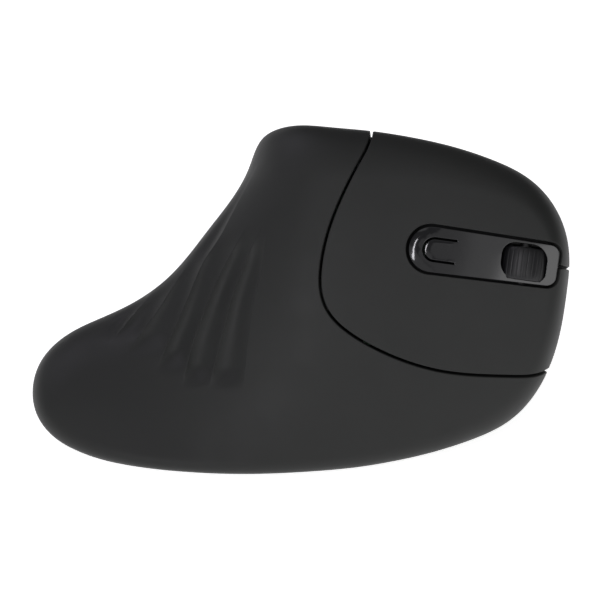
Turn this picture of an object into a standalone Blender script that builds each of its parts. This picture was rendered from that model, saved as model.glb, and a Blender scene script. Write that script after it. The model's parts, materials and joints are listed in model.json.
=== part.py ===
"""Wireless vertical computer mouse, modelled as separate shells, buttons, wheel, boards and base.

Lengths below are millimetres and are turned into metres when a mesh is made. The face that carries
the two keys leans back by TILT. Points on it are given as x (towards the front), s (up the leaning
face) and n (out of it). The outer skin is one height n over x and s inside a closed outline, and a
second sheet that drops from that outline to the base on the thumb side and round the foot.
"""
import bpy
import bmesh
import math
import numpy as np
from mathutils import Matrix, Vector
from mathutils.geometry import delaunay_2d_cdt

MM = 0.001
TILT = math.radians(34.0)
SIN, COS = math.sin(TILT), math.cos(TILT)
CENTRE = Vector((-0.17, 30.2, 0.0))     # middle of the footprint, moved to the origin

WALL = 1.8                               # thickness of every moulded shell
GAP = 0.3                                # clearance between neighbouring pieces
PANEL_GAP = 0.5                          # clearance round the thumb panel and its keys
SEAM_GAP = 0.5                           # width of the seam round the key plate
RIM_Z = 1.2                              # height of the lower rim of the shell
BASE_TOP = 3.0                           # inner face of the base plate
BASE_UNDER = 0.8                         # its outer face, a little above the glides
KEY_LIP = 4.0                            # how far the keys reach over the ridge
LIP_GAP = 1.1                            # room below that edge for the keys to travel

# x, s, width of the rolled edge, depth of the rolled edge, foot x, foot y, share of thumb scoop
OUTLINE = [
    (-59.2, 17.4, 7.5, 7.0, -58.2, 21.2, 0.0),
    (-57.8, 23.7, 9.0, 8.0, -57.0, 28.0, 0.0),
    (-50.9, 30.6, 11.0, 8.0, -53.0, 37.0, 0.0),
    (-44.2, 33.8, 12.0, 7.5, -47.0, 43.0, 0.0),
    (-37.5, 36.9, 12.0, 7.0, -38.5, 47.0, 0.1),
    (-28.7, 43.1, 11.0, 7.0, -28.0, 49.5, 0.3),
    (-20.0, 53.5, 11.0, 8.0, -17.0, 52.0, 0.6),
    (-11.0, 67.3, 11.0, 9.0, -7.0, 56.0, 0.9),
    (-7.8, 73.8, 11.0, 9.0, -2.5, 58.5, 1.0),
    (-3.2, 75.8, 12.0, 8.0, 3.0, 60.6, 1.0),
    (6.6, 75.6, 12.0, 7.5, 10.0, 63.0, 1.0),
    (15.4, 74.7, 11.0, 7.0, 17.0, 65.0, 1.0),
    (24.2, 73.3, 10.0, 7.0, 24.0, 66.0, 1.0),
    (33.0, 71.3, 9.0, 7.0, 31.0, 65.5, 1.0),
    (41.8, 68.4, 8.0, 7.5, 38.0, 63.0, 0.9),
    (50.4, 63.9, 6.5, 8.5, 45.0, 57.5, 0.6),
    (55.0, 59.0, 5.5, 9.0, 49.0, 51.0, 0.35),
    (57.8, 53.2, 5.0, 9.5, 51.5, 44.0, 0.15),
    (58.8, 48.0, 4.5, 10.0, 52.4, 38.0, 0.0),
    (58.3, 38.9, 4.5, 10.0, 52.6, 33.0, 0.0),
    (57.1, 31.0, 4.5, 9.5, 51.6, 28.6, 0.0),
    (54.8, 23.1, 4.5, 9.0, 50.0, 24.8, 0.0),
    (52.1, 17.8, 4.5, 8.0, 48.0, 21.1, 0.0),
    (46.2, 11.4, 4.5, 6.0, 43.0, 15.4, 0.0),
    (37.4, 7.1, 4.0, 4.5, 35.6, 9.6, 0.0),
    (28.6, 4.4, 3.4, 3.6, 28.0, 5.6, 0.0),
    (15.4, 1.8, 3.0, 3.0, 15.2, 1.1, 0.0),
    (2.2, 0.5, 3.0, 2.8, 2.2, -1.1, 0.0),
    (-11.0, 0.0, 3.0, 2.8, -11.0, -2.0, 0.0),
    (-24.2, 0.4, 3.0, 2.8, -24.0, -1.3, 0.0),
    (-37.4, 1.8, 3.0, 2.8, -37.0, 1.1, 0.0),
    (-46.2, 3.8, 3.4, 3.2, -45.6, 4.5, 0.0),
    (-53.7, 7.3, 4.5, 4.2, -52.8, 10.2, 0.0),
    (-58.1, 12.5, 6.0, 5.6, -57.0, 16.6, 0.0),
]
# height n of the face before its edge rolls away, at stations along x and up s
FACE_X = (-60, -45, -30, -15, 0, 15, 30, 45, 60)
FACE_S = (0, 15, 30, 45, 60, 76)
FACE_N = [
    (-4.0, -5.5, -11.0, -19.0, -28.0, -38.0),
    (2.6, -0.8, -7.2, -15.0, -23.0, -31.0),
    (7.0, 3.2, -0.6, -4.5, -11.0, -18.0),
    (9.0, 7.6, 6.4, 4.4, 0.0, -7.0),
    (8.8, 10.8, 12.2, 12.2, 10.4, 7.0),
    (7.2, 11.2, 13.8, 14.6, 13.6, 11.0),
    (4.4, 10.0, 13.6, 15.2, 14.8, 12.6),
    (-0.8, 7.4, 12.6, 15.2, 15.2, 13.2),
    (-8.5, 3.2, 10.2, 14.2, 14.6, 12.8),
]
# thumb scoop: share of the way out to the foot, share of the drop
SCOOP = [(0, 0), (0.26, 0.127), (0.36, 0.31), (0.38, 0.50), (0.46, 0.65),
         (0.68, 0.765), (0.916, 0.85), (1.03, 0.92), (1, 1)]
ROLL_POWER = 2.3
CROWD = 5.0                              # how sharply the nearest edge decides the roll

KEY_SEAM = [(15.9, 77.5), (15.8, 74.6), (14.6, 70.7), (11.7, 65.3), (7.3, 55.7), (4.9, 46.8),
            (4.7, 39.6), (8.1, 33.0), (17.6, 26.8), (30.8, 22.4), (44.0, 21.3), (52.0, 21.6),
            (58.0, 24.2)]

STRIP_LEAN = math.radians(7.8)           # the strip falls towards the front by this much
STRIP_REAR = (28.6, 48.75)                # middle of its round rear end
STRIP_LENGTH = 27.5
STRIP_RADIUS = 5.0
STRIP_FRONT_RADIUS = 2.4
STRIP_SINK = 0.35
STRIP_GAP = 0.6
STRIP_FRONT_GAP = 0.6
STRIP_WALL = 1.0
KEY_WALL = 1.4
WHEEL_MIDDLE = (48.6, 45.85)
WHEEL_RADIUS = 5.4
WHEEL_WIDTH = 6.8
WHEEL_PROUD = 1.3
WHEEL_WINDOW = (10.8, 7.8)
WINDOW_MIDDLE = (49.1, 46.0)
WINDOW_CORNER = 0.8
DPI_START = -2.3                         # rear end of the small key, from STRIP_REAR
DPI_LENGTH = 8.2
DPI_WIDTH = 4.6
KEY_HINGE_X = 26.5


# ---------------------------------------------------------------- the skin

def spline(knots, values, at, periodic=False):
    """Natural or periodic cubic through values at knots, read at the given places."""
    knots = np.asarray(knots, float)
    values = np.asarray(values, float)
    count = len(knots) - 1
    step = np.diff(knots)
    rows = count if periodic else count + 1
    matrix = np.zeros((rows, rows))
    right = np.zeros((rows, values.shape[1]))
    for i in range(rows):
        if not periodic and i in (0, count):
            matrix[i, i] = 1.0
            continue
        before, after = step[i - 1], step[i]
        matrix[i, (i - 1) % rows] += before
        matrix[i, i] += 2 * (before + after)
        matrix[i, (i + 1) % rows] += after
        last = values[(i - 1) % count] if periodic else values[i - 1]
        right[i] = 6 * ((values[i + 1] - values[i]) / after - (values[i] - last) / before)
    bend = np.linalg.solve(matrix, right)
    at = np.asarray(at, float)
    if periodic:
        bend = np.vstack([bend, bend[:1]])
        at = knots[0] + np.mod(at - knots[0], knots[-1] - knots[0])
    k = np.clip(np.searchsorted(knots, at, side="right") - 1, 0, count - 1)
    h = step[k][..., None]
    u = (at - knots[k])[..., None]
    slope = (values[k + 1] - values[k]) / h - h * (2 * bend[k] + bend[k + 1]) / 6
    return values[k] + u * slope + u * u * bend[k] / 2 + u ** 3 * (bend[k + 1] - bend[k]) / (6 * h)


OUTLINE_ROWS = np.array(OUTLINE + OUTLINE[:1], float)
OUTLINE_RUN = np.concatenate([[0], np.cumsum(np.hypot(*np.diff(OUTLINE_ROWS[:, :2], axis=0).T))])
ROUND = OUTLINE_RUN[-1]                  # once round the outline


def outline(t):
    return spline(OUTLINE_RUN, OUTLINE_ROWS, t, periodic=True)


EDGE_STEP = 0.3
EDGE = outline(np.arange(0, ROUND, EDGE_STEP))
EDGE_NEXT = np.roll(EDGE, -1, axis=0)


def face(x, s):
    """Height of the face without its rolled edge."""
    along = spline(FACE_X, np.eye(len(FACE_X)), x)
    up = spline(FACE_S, np.eye(len(FACE_S)), s)
    return np.einsum("...i,ij,...j->...", along, np.array(FACE_N), up)


def edge_distance(points):
    """Distance of each x, s point from the outline."""
    a, b = EDGE[:, :2], EDGE_NEXT[:, :2]
    run = b - a
    share = ((points[:, None] - a) * run).sum(-1) / (run * run).sum(-1)
    nearest = a + np.clip(share, 0, 1)[..., None] * run
    return np.linalg.norm(points[:, None] - nearest, axis=-1).min(1)


def rolled(points):
    """How far the skin has dropped below the face near the outline."""
    drop = np.zeros(len(points))
    crowd = math.sqrt(math.pi) * math.gamma((CROWD - 1) / 2) / math.gamma(CROWD / 2)
    for first in range(0, len(points), 1000):
        part = points[first:first + 1000]
        away = np.maximum(np.linalg.norm(part[:, None] - EDGE[None, :, :2], axis=-1), 0.05)
        weight = away ** -CROWD
        total = weight.sum(1)
        soft = (crowd / (total * EDGE_STEP)) ** (1 / (CROWD - 1))
        near = edge_distance(part)
        mix = np.clip(near / 3.0, 0, 1)
        mix = mix * mix * (3 - 2 * mix)
        width = (weight * EDGE[:, 2]).sum(1) / total
        depth = (weight * EDGE[:, 3]).sum(1) / total
        share = np.clip((near * (1 - mix) + soft * mix) / width, 0, 1)
        drop[first:first + 1000] = depth * (1 - (1 - (1 - share) ** ROLL_POWER) ** (1 / ROLL_POWER))
    return drop


def to_world(x, s, n):
    return np.stack([x, s * SIN - n * COS, s * COS + n * SIN], -1)


def face_chart(points, sink=0.0):
    """World points of the visible sheet. Points on the outline take the full drop of its edge."""
    points = np.asarray(points, float)
    return to_world(points[:, 0], points[:, 1], face(points[:, 0], points[:, 1]) - rolled(points) - sink)


def outline_world(t):
    rows = outline(t)
    return to_world(rows[:, 0], rows[:, 1], face(rows[:, 0], rows[:, 1]) - rows[:, 3])


def hidden_at(t, w):
    """World points of the sheet that drops from the outline (w = 0) to the foot (w = 1)."""
    rows = outline(t)
    top = outline_world(t)
    foot = np.stack([rows[:, 4], rows[:, 5], np.full(len(rows), RIM_Z)], -1)
    w = np.asarray(w, float)[:, None]
    reach = np.linalg.norm(foot - top, axis=1)[:, None]
    drop = top[:, 2:3] - RIM_Z
    first = top + np.array([0, COS, -SIN]) * reach * 0.30
    second = foot + np.array([0, 0, 1.0]) * drop * 0.35
    plain = (1 - w) ** 3 * top + 3 * (1 - w) ** 2 * w * first + 3 * (1 - w) * w * w * second + w ** 3 * foot
    share = spline(np.linspace(0, 1, len(SCOOP)), SCOOP, w[:, 0])
    scoop = top + (foot - top) * share[:, :1]
    scoop[:, 2] = top[:, 2] - drop[:, 0] * share[:, 1]
    mix = np.clip(rows[:, 6:7], 0, 1)
    return plain * (1 - mix) + scoop * mix


HIDDEN_T = np.linspace(0, ROUND, 181)
HIDDEN_LENGTH = sum(np.linalg.norm(hidden_at(HIDDEN_T, np.full(181, (k + 1) / 24))
                                   - hidden_at(HIDDEN_T, np.full(181, k / 24)), axis=1) for k in range(24))


def hidden_length(t):
    return np.interp(np.mod(t, ROUND), HIDDEN_T, HIDDEN_LENGTH)


def hidden_chart(points):
    """World points of the hidden sheet, from run t round the outline and distance q below it."""
    points = np.asarray(points, float)
    return hidden_at(points[:, 0], np.clip(points[:, 1] / hidden_length(points[:, 0]), 0, 1))


def chart_normals(chart, points):
    """Outward normals of a sheet, from small steps along its two chart directions."""
    step = 0.03
    first = chart(points + [step, 0]) - chart(points - [step, 0])
    second = chart(points + [0, step]) - chart(points - [0, step])
    normal = np.cross(first, second)
    return normal / np.linalg.norm(normal, axis=1)[:, None]


def outline_normals(t):
    """Outward normals along the outline, where the skin runs straight away from the face."""
    along = outline_world(t + 0.05) - outline_world(t - 0.05)
    normal = np.cross(along, [0, COS, -SIN])
    return normal / np.linalg.norm(normal, axis=1)[:, None]


# ---------------------------------------------------------------- loops on the skin

def inside(points, loop):
    a, b = loop, np.roll(loop, -1, axis=0)
    px, py = points[:, 0][:, None], points[:, 1][:, None]
    spans = (a[:, 1] > py) != (b[:, 1] > py)
    cross = px < (b[:, 0] - a[:, 0]) * (py - a[:, 1]) / (b[:, 1] - a[:, 1] + 1e-12) + a[:, 0]
    return (spans & cross).sum(1) % 2 == 1


def resample(line, step, closed=False):
    """Evenly spaced points along a line, about step apart, keeping both of its ends."""
    line = np.asarray(line, float)
    if closed:
        line = np.vstack([line, line[:1]])
    run = np.concatenate([[0], np.cumsum(np.linalg.norm(np.diff(line, axis=0), axis=1))])
    count = max(2, int(round(run[-1] / step)) + 1)
    at = np.linspace(0, run[-1], count)
    points = np.stack([np.interp(at, run, line[:, k]) for k in range(2)], -1)
    return points[:-1] if closed else points


def seam_line(offset):
    """The key seam moved sideways and cut at the outline, with the run t of its two ends."""
    knots = np.arange(len(KEY_SEAM))
    line = spline(knots, KEY_SEAM, np.linspace(0, knots[-1], 900))
    along = np.gradient(line, axis=0)
    along /= np.linalg.norm(along, axis=1)[:, None]
    line = line + np.stack([-along[:, 1], along[:, 0]], -1) * offset
    line = line[inside(line, EDGE[:, :2])]
    ends = []
    for end in (line[0], line[-1]):
        k = np.linalg.norm(EDGE[:, :2] - end, axis=1).argmin()
        ends.append(k * EDGE_STEP)
    line[0], line[-1] = outline(np.array(ends))[:, :2]
    return line, ends


def rounded(corners, radii, step=0.6):
    """Closed loop through the corners, each cut by an arc of its own radius."""
    corners = np.asarray(corners, float)
    loop = []
    for k, corner in enumerate(corners):
        back = corners[k - 1] - corner
        ahead = corners[(k + 1) % len(corners)] - corner
        back, ahead = back / np.linalg.norm(back), ahead / np.linalg.norm(ahead)
        half = math.acos(np.clip(back @ ahead, -1, 1)) / 2
        middle = corner + (back + ahead) / np.linalg.norm(back + ahead) * radii[k] / math.sin(half)
        start = corner + back * radii[k] / math.tan(half) - middle
        turn = math.pi - 2 * half
        if back[0] * ahead[1] - back[1] * ahead[0] > 0:
            turn = -turn
        parts = max(2, int(abs(turn) * radii[k] / step) + 1)
        for j in range(parts + 1):
            a = turn * j / parts
            loop.append(middle + (start[0] * math.cos(a) - start[1] * math.sin(a),
                                  start[0] * math.sin(a) + start[1] * math.cos(a)))
    return np.array(loop)


STRIP_ALONG = np.array([math.cos(STRIP_LEAN), -math.sin(STRIP_LEAN)])
STRIP_ACROSS = np.array([math.sin(STRIP_LEAN), math.cos(STRIP_LEAN)])


def on_strip(along, across, middle=STRIP_REAR):
    return np.array(middle) + STRIP_ALONG * along + STRIP_ACROSS * across


def strip_loop(grow):
    """Outline of the strip: round at the rear, small corners at the front."""
    r = STRIP_RADIUS + grow
    front = STRIP_LENGTH + grow * STRIP_FRONT_GAP / STRIP_GAP
    corners = [on_strip(-r, -r), on_strip(front, -r), on_strip(front, r), on_strip(-r, r)]
    small = STRIP_FRONT_RADIUS + grow
    return rounded(corners, (r - 0.01, small, small, r - 0.01))


def window_loop(grow):
    """Opening for the wheel."""
    a, b = WHEEL_WINDOW[0] / 2 + grow, WHEEL_WINDOW[1] / 2 + grow
    corners = [on_strip(x, y, WINDOW_MIDDLE) for x, y in ((-a, -b), (a, -b), (a, b), (-a, b))]
    return rounded(corners, (WINDOW_CORNER + grow,) * 4)


def dpi_loop(grow):
    """Small key behind the wheel, round at the rear and square at the front."""
    r = DPI_WIDTH / 2 + grow
    rear, front = DPI_START - grow, DPI_START + DPI_LENGTH + grow
    corners = [on_strip(x, y) for x, y in ((rear, -r), (front, -r), (front, r), (rear, r))]
    return rounded(corners, (r - 0.01, 0.5, 0.5, r - 0.01))


def panel_loop(grow):
    """Edge of the thumb panel, as run t and distance q on the hidden sheet."""
    rear, front = T_PANEL[0] - grow, T_PANEL[1] + grow
    top, low = PANEL_TOP - grow, PANEL_LOW + grow
    corners = [(rear, top), (front, top), (front - 4.0, low - 9.0), (rear + 9.0, low)]
    return rounded(corners, (5.0 + grow, 5.0 + grow, 7.0 + grow, 9.0 + grow), 1.5)


def side_key_loop(middle, grow):
    a, b = SIDE_KEY[0] / 2 + grow, SIDE_KEY[1] / 2 + grow
    corners = [(middle + x, SIDE_KEY_Q + y) for x, y in ((-a, -b), (a, -b), (a, b), (-a, b))]
    return rounded(corners, (2.4 + grow,) * 4, 1.2)


# ---------------------------------------------------------------- cutting the skin into pieces

SEAM_KEYS, ENDS_KEYS = seam_line(SEAM_GAP / 2)
SEAM_BODY, ENDS_BODY = seam_line(-SEAM_GAP / 2)


def run_at_x(x, first, last):
    """Run t at which the outline passes x, looked for between two runs."""
    t = np.linspace(first, last, 2000)
    return float(t[np.abs(outline(t)[:, 0] - x).argmin()])


T_RIDGE, T_FRONT = ENDS_BODY
T_KEY_RIDGE, T_KEY_FRONT = ENDS_KEYS
T_HINGE = [run_at_x(KEY_HINGE_X + side * SEAM_GAP / 2, T_RIDGE, T_RIDGE + 40) for side in (-1, 1)]
SPLIT_GAP = 0.5


def split_line(offset):
    """Line between the two keys in front of the strip, from inside the strip to the outline."""
    start = on_strip(STRIP_LENGTH - 2.0, offset)
    line = start + np.outer(np.arange(0, 12, 0.02), STRIP_ALONG)
    line = line[inside(line, EDGE[:, :2])]
    t = np.linspace(T_RIDGE, T_FRONT, 4000)
    nearest = t[np.linalg.norm(outline(t)[:, :2] - line[-1], axis=1).argmin()]
    line[-1] = outline(nearest)[:2]
    return resample(line, 1.0), float(nearest)


SPLIT_LEFT, T_SPLIT_LEFT = split_line(SPLIT_GAP / 2)
SPLIT_RIGHT, T_SPLIT_RIGHT = split_line(-SPLIT_GAP / 2)
T_PANEL = (run_at_x(-4.0, 60, T_RIDGE + 5), run_at_x(47.0, T_RIDGE, T_FRONT - 20))
PANEL_TOP, PANEL_LOW = 9.0, 60.0
SIDE_KEY = (15.0, 6.0)
SIDE_KEY_Q = 15.5
SIDE_KEYS = {"back_button": T_PANEL[0] + 17.0, "forward_button": T_PANEL[0] + 33.5}


def marks(first, last, step, extra=()):
    """Evenly spaced numbers from first to last, with the extra ones put in."""
    even = np.linspace(first, last, max(2, int(round((last - first) / step)) + 1))
    near = [m for m in extra if first < m < last]
    even = [m for m in even if all(abs(m - n) > step * 0.3 for n in near)]
    return np.array(sorted(even + near))


SPECIAL_T = sorted([T_RIDGE, T_FRONT, T_KEY_RIDGE, T_KEY_FRONT, T_SPLIT_LEFT, T_SPLIT_RIGHT] + T_HINGE)
EDGE_T = marks(0, ROUND, 4.5, SPECIAL_T)[:-1]


def triangulate(fixed, chains, free, clearance):
    """Triangles over fixed points, chains kept as edges, and the free points that stay clear of both."""
    points = [tuple(p) for p in fixed]
    edges = []
    for chain, closed in chains:
        first = len(points)
        points += [tuple(p) for p in chain]
        last = len(points) - 1
        edges += [(k, k + 1) for k in range(first, last)]
        if closed:
            edges.append((last, first))
    kept = np.array(points)
    away = np.array([np.linalg.norm(kept - p, axis=1).min() for p in free])
    points += [tuple(p) for p in free[away > clearance]]
    verts, _, faces, sources, _, _ = delaunay_2d_cdt([Vector(p) for p in points], edges, [], 0, 1e-4)
    from_fixed = [min((k for k in source if k < len(fixed)), default=-1) for source in sources]
    return np.array([tuple(v) for v in verts]), np.array([tuple(f) for f in faces]), np.array(from_fixed)


def visible_net():
    """Every seam of the visible sheet in one triangle net, and the sides of its triangles."""
    edge = outline(EDGE_T)[:, :2]
    hinge = []
    for t, side in zip(T_HINGE, (-1, 1)):
        top = outline(t)[:2]
        hinge.append(resample([top, (top[0], 18.0)], 4.0))
    chains = [(edge, True), (resample(SEAM_KEYS, 4.0), False), (resample(SEAM_BODY, 4.0), False),
              (hinge[0], False), (hinge[1], False), (SPLIT_LEFT, False), (SPLIT_RIGHT, False),
              (strip_loop(STRIP_GAP), True), (strip_loop(0.0), True), (window_loop(0.0), True),
              (dpi_loop(GAP), True), (dpi_loop(0.0), True)]
    rings = []
    inward = outline(EDGE_T + 0.05)[:, :2] - outline(EDGE_T - 0.05)[:, :2]
    inward /= np.linalg.norm(inward, axis=1)[:, None]
    inward = np.stack([inward[:, 1], -inward[:, 0]], -1)
    for distance in (0.4, 1.3, 3.0, 5.5):
        rings.append(edge + inward * distance)
    step = 6.0
    grid = [(x + step / 2 * (k % 2), s) for k, s in enumerate(np.arange(2, 76, step * 0.87))
            for x in np.arange(-58, 60, step)]
    grid = np.array(grid)
    grid = grid[inside(grid, EDGE[:, :2])]
    grid = grid[edge_distance(grid) > 8.0]
    return triangulate(edge, chains, np.vstack(rings + [grid]), 0.35)


def hidden_net():
    """The hidden sheet from the outline to the foot, cut below the keys and round the thumb panel."""
    runs = np.append(EDGE_T, ROUND)
    top = np.stack([runs, np.zeros(len(runs))], -1)
    low = np.stack([runs, hidden_length(runs)], -1)
    columns = []
    for t in [0.0, ROUND] + SPECIAL_T:
        columns.append((np.array([(t, hidden_length(t) * k / 8) for k in range(9)]), False))
    lip = []
    for q, first, last in ((KEY_LIP, T_KEY_RIDGE, T_KEY_FRONT), (KEY_LIP + LIP_GAP, T_RIDGE, T_FRONT)):
        t = marks(first, last, 4.5, SPECIAL_T)
        lip.append((np.stack([t, np.full(len(t), q)], -1), False))
    loops = [(panel_loop(PANEL_GAP), True), (panel_loop(0.0), True)]
    for middle in SIDE_KEYS.values():
        loops += [(side_key_loop(middle, PANEL_GAP), True), (side_key_loop(middle, 0.0), True)]
    free = []
    for share in (0.06, 0.16, 0.28, 0.4, 0.52, 0.64, 0.76, 0.88, 0.95, 0.985):
        free.append(np.stack([runs, hidden_length(runs) * share], -1))
    return triangulate(top, [(top, False), (low, False)] + columns + lip + loops, np.vstack(free), 0.5)


def centroids(points, faces):
    return points[faces].mean(1)


VISIBLE, VISIBLE_FACES, VISIBLE_FIXED = visible_net()
HIDDEN, HIDDEN_FACES, _ = hidden_net()


def visible_world(sink):
    world = face_chart(VISIBLE, sink)
    on_edge = VISIBLE_FIXED >= 0
    world[on_edge] = outline_world(EDGE_T[VISIBLE_FIXED[on_edge]])
    return world


def key_side(seam, ends, points):
    """Whether points lie on the front side of a key seam."""
    runs = np.linspace(ends[0], ends[1], 400)
    loop = np.vstack([seam[::-1], outline(runs)[1:-1, :2]])
    return inside(points, loop)


def visible_sides():
    """Mask over the visible triangles for each piece."""
    at = centroids(VISIBLE, VISIBLE_FACES)
    whole = inside(at, outline(EDGE_T)[:, :2])
    keys = key_side(SEAM_KEYS, ENDS_KEYS, at) & ~inside(at, strip_loop(STRIP_GAP))
    body = whole & ~key_side(SEAM_BODY, ENDS_BODY, at)
    across = (at - STRIP_REAR) @ STRIP_ACROSS
    ahead = at[:, 0] > KEY_HINGE_X
    strip = inside(at, strip_loop(0.0)) & ~inside(at, window_loop(0.0)) & ~inside(at, dpi_loop(GAP))
    hinge = np.abs(at[:, 0] - KEY_HINGE_X) < SEAM_GAP / 2
    split = np.abs(across) < SPLIT_GAP / 2
    return {"main_shell": body, "key_bridge": keys & ~ahead & ~hinge,
            "left_button": keys & ahead & ~hinge & (across > 0) & ~split,
            "right_button": keys & ahead & ~hinge & (across < 0) & ~split,
            "centre_strip": strip, "dpi_button": inside(at, dpi_loop(0.0))}


def hidden_sides():
    at = centroids(HIDDEN, HIDDEN_FACES)
    t, q = at[:, 0], at[:, 1]
    whole = (q > 0) & (q < hidden_length(t)) & (t > 0) & (t < ROUND)
    keys = whole & (q < KEY_LIP) & (t > T_KEY_RIDGE) & (t < T_KEY_FRONT)
    open_rim = (q < KEY_LIP + LIP_GAP) & (t > T_RIDGE) & (t < T_FRONT)
    body = whole & ~open_rim & ~inside(at, panel_loop(PANEL_GAP))
    sides = {"main_shell": body, "key_bridge": keys & (t < T_HINGE[0]),
             "left_button": keys & (t > T_HINGE[1]) & (t < T_SPLIT_LEFT),
             "right_button": keys & (t > T_SPLIT_RIGHT)}
    panel = inside(at, panel_loop(0.0))
    for name, middle in SIDE_KEYS.items():
        panel &= ~inside(at, side_key_loop(middle, PANEL_GAP))
        sides[name] = inside(at, side_key_loop(middle, 0.0))
    sides["thumb_panel"] = panel
    return sides


# ---------------------------------------------------------------- scene set-up and helpers

for stale in list(bpy.data.objects):
    bpy.data.objects.remove(stale, do_unlink=True)
PARTS = bpy.data.collections.new("vertical_mouse")
bpy.context.scene.collection.children.link(PARTS)


def plastic(name, colour, roughness, metallic=0.0):
    material = bpy.data.materials.new(name)
    material.use_nodes = True
    shader = material.node_tree.nodes["Principled BSDF"]
    shader.inputs["Base Color"].default_value = (*colour, 1.0)
    shader.inputs["Roughness"].default_value = roughness
    shader.inputs["Metallic"].default_value = metallic
    return material


SOFT_BLACK = plastic("soft_touch_black", (0.036, 0.036, 0.038), 0.62)
GLOSS_BLACK = plastic("gloss_black", (0.03, 0.03, 0.033), 0.12)
RUBBER = plastic("wheel_rubber", (0.025, 0.025, 0.026), 0.7)
ABS_BLACK = plastic("black_abs", (0.03, 0.03, 0.03), 0.45)
ABS_GREY = plastic("grey_abs", (0.2, 0.2, 0.21), 0.5)
ABS_WHITE = plastic("white_abs", (0.75, 0.75, 0.72), 0.4)
BOARD = plastic("green_board", (0.02, 0.12, 0.05), 0.35)
CHIP = plastic("chip_black", (0.015, 0.015, 0.016), 0.4)
CLEAR = plastic("clear_acrylic", (0.75, 0.8, 0.82), 0.08)
STEEL = plastic("steel", (0.6, 0.6, 0.62), 0.3, 1.0)
GLIDE = plastic("ptfe_glide", (0.05, 0.05, 0.055), 0.35)
CELL = plastic("cell_wrap", (0.08, 0.16, 0.3), 0.35)


def add(name, mesh, material, pivot=(0, 0, 0)):
    """Put a mesh made in millimetres into the collection, with its origin at the pivot."""
    mesh.transform(Matrix.Translation(-Vector(pivot)))
    mesh.transform(Matrix.Scale(MM, 4))
    mesh.materials.append(material)
    obj = bpy.data.objects.new(name, mesh)
    obj.location = (Vector(pivot) - CENTRE) * MM
    PARTS.objects.link(obj)
    return obj


def from_bmesh(name, bm):
    mesh = bpy.data.meshes.new(name)
    bm.normal_update()
    bm.to_mesh(mesh)
    bm.free()
    return mesh


def frame_at(origin, columns):
    frame = Matrix.Identity(4)
    for k, column in enumerate(columns):
        for row in range(3):
            frame[row][k] = column[row]
    return Matrix.Translation(Vector(origin)) @ frame


ALONG_X, UP_FACE, OUT_FACE = (1, 0, 0), (0, SIN, COS), (0, -COS, SIN)
FACE_FRAME = frame_at((0, 0, 0), (ALONG_X, UP_FACE, OUT_FACE))
WORLD_FRAME = Matrix.Identity(4)


def box(name, size, middle, material, frame=WORLD_FRAME, pivot=None):
    bm = bmesh.new()
    place = Matrix.Translation(Vector(middle)) @ Matrix.Diagonal((*size, 1))
    bmesh.ops.create_cube(bm, size=1, matrix=frame @ place)
    return add(name, from_bmesh(name, bm), material, pivot or frame @ Vector(middle))


def rod(name, radius, length, middle, material, frame=WORLD_FRAME, turn=Matrix.Identity(4), segments=24,
        pivot=None):
    bm = bmesh.new()
    place = Matrix.Translation(Vector(middle)) @ turn
    bmesh.ops.create_cone(bm, cap_ends=True, segments=segments, radius1=radius, radius2=radius,
                          depth=length, matrix=frame @ place)
    return add(name, from_bmesh(name, bm), material, pivot or frame @ Vector(middle))


def turned(name, profile, material, origin, axis, closed=False, steps=36):
    """Revolved piece. The profile gives radius and height from the top down, along the axis."""
    bm = bmesh.new()
    verts = [bm.verts.new((r * MM, 0, z * MM)) for r, z in profile]
    for a, b in zip(verts, verts[1:]):
        bm.edges.new((a, b))
    if closed:
        bm.edges.new((verts[-1], verts[0]))
    mesh = bpy.data.meshes.new(name)
    bm.to_mesh(mesh)
    bm.free()
    mesh.materials.append(material)
    obj = bpy.data.objects.new(name, mesh)
    obj.location = (Vector(origin) - CENTRE) * MM
    obj.rotation_mode = "QUATERNION"
    obj.rotation_quaternion = Vector(axis).to_track_quat("Z", "Y")
    PARTS.objects.link(obj)
    screw = obj.modifiers.new("turn", "SCREW")
    screw.axis = "Z"
    screw.steps = screw.render_steps = steps
    screw.use_merge_vertices = True
    screw.merge_threshold = 0.00001
    screw.use_smooth_shade = True
    return obj


def plate(name, outer, holes, low, high, material, frame=WORLD_FRAME, pivot=None):
    """Flat plate between two heights, cut to a closed outline with holes through it."""
    loops = [np.array(outer, float)] + [np.array(hole, float) for hole in holes]
    nothing = np.zeros((0, 2))
    points, faces, _ = triangulate(loops[0][:1], [(loop, True) for loop in loops], nothing, 0)
    at = centroids(points, faces)
    keep = inside(at, loops[0])
    for hole in loops[1:]:
        keep &= ~inside(at, hole)
    bm = bmesh.new()
    verts = [bm.verts.new(frame @ Vector((x, y, high))) for x, y in points]
    for corner in faces[keep]:
        bm.faces.new([verts[k] for k in corner])
    bmesh.ops.delete(bm, geom=[v for v in bm.verts if not v.link_faces], context="VERTS")
    bmesh.ops.dissolve_limit(bm, angle_limit=0.01, verts=bm.verts, edges=bm.edges)
    middle = frame @ Vector((*loops[0].mean(0), (low + high) / 2))
    obj = add(name, from_bmesh(name, bm), material, pivot or middle)
    solid = obj.modifiers.new("thickness", "SOLIDIFY")
    solid.thickness = (high - low) * MM
    solid.offset = -1.0
    return obj


def circle(x, y, radius, count=20):
    a = np.linspace(0, 2 * math.pi, count, endpoint=False)
    return np.stack([x + radius * np.cos(a), y + radius * np.sin(a)], -1)


def rectangle(x, y, length, width, corner=0.8):
    a, b = length / 2, width / 2
    corners = [(x - a, y - b), (x + a, y - b), (x + a, y + b), (x - a, y + b)]
    return rounded(corners, (corner,) * 4)


def visible_sheet(faces, sink):
    """World points and normals of the visible net, and the triangles that one piece keeps."""
    normals = chart_normals(face_chart, VISIBLE)
    on_edge = VISIBLE_FIXED >= 0
    normals[on_edge] = outline_normals(EDGE_T[VISIBLE_FIXED[on_edge]])
    return visible_world(sink), normals, faces


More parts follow.
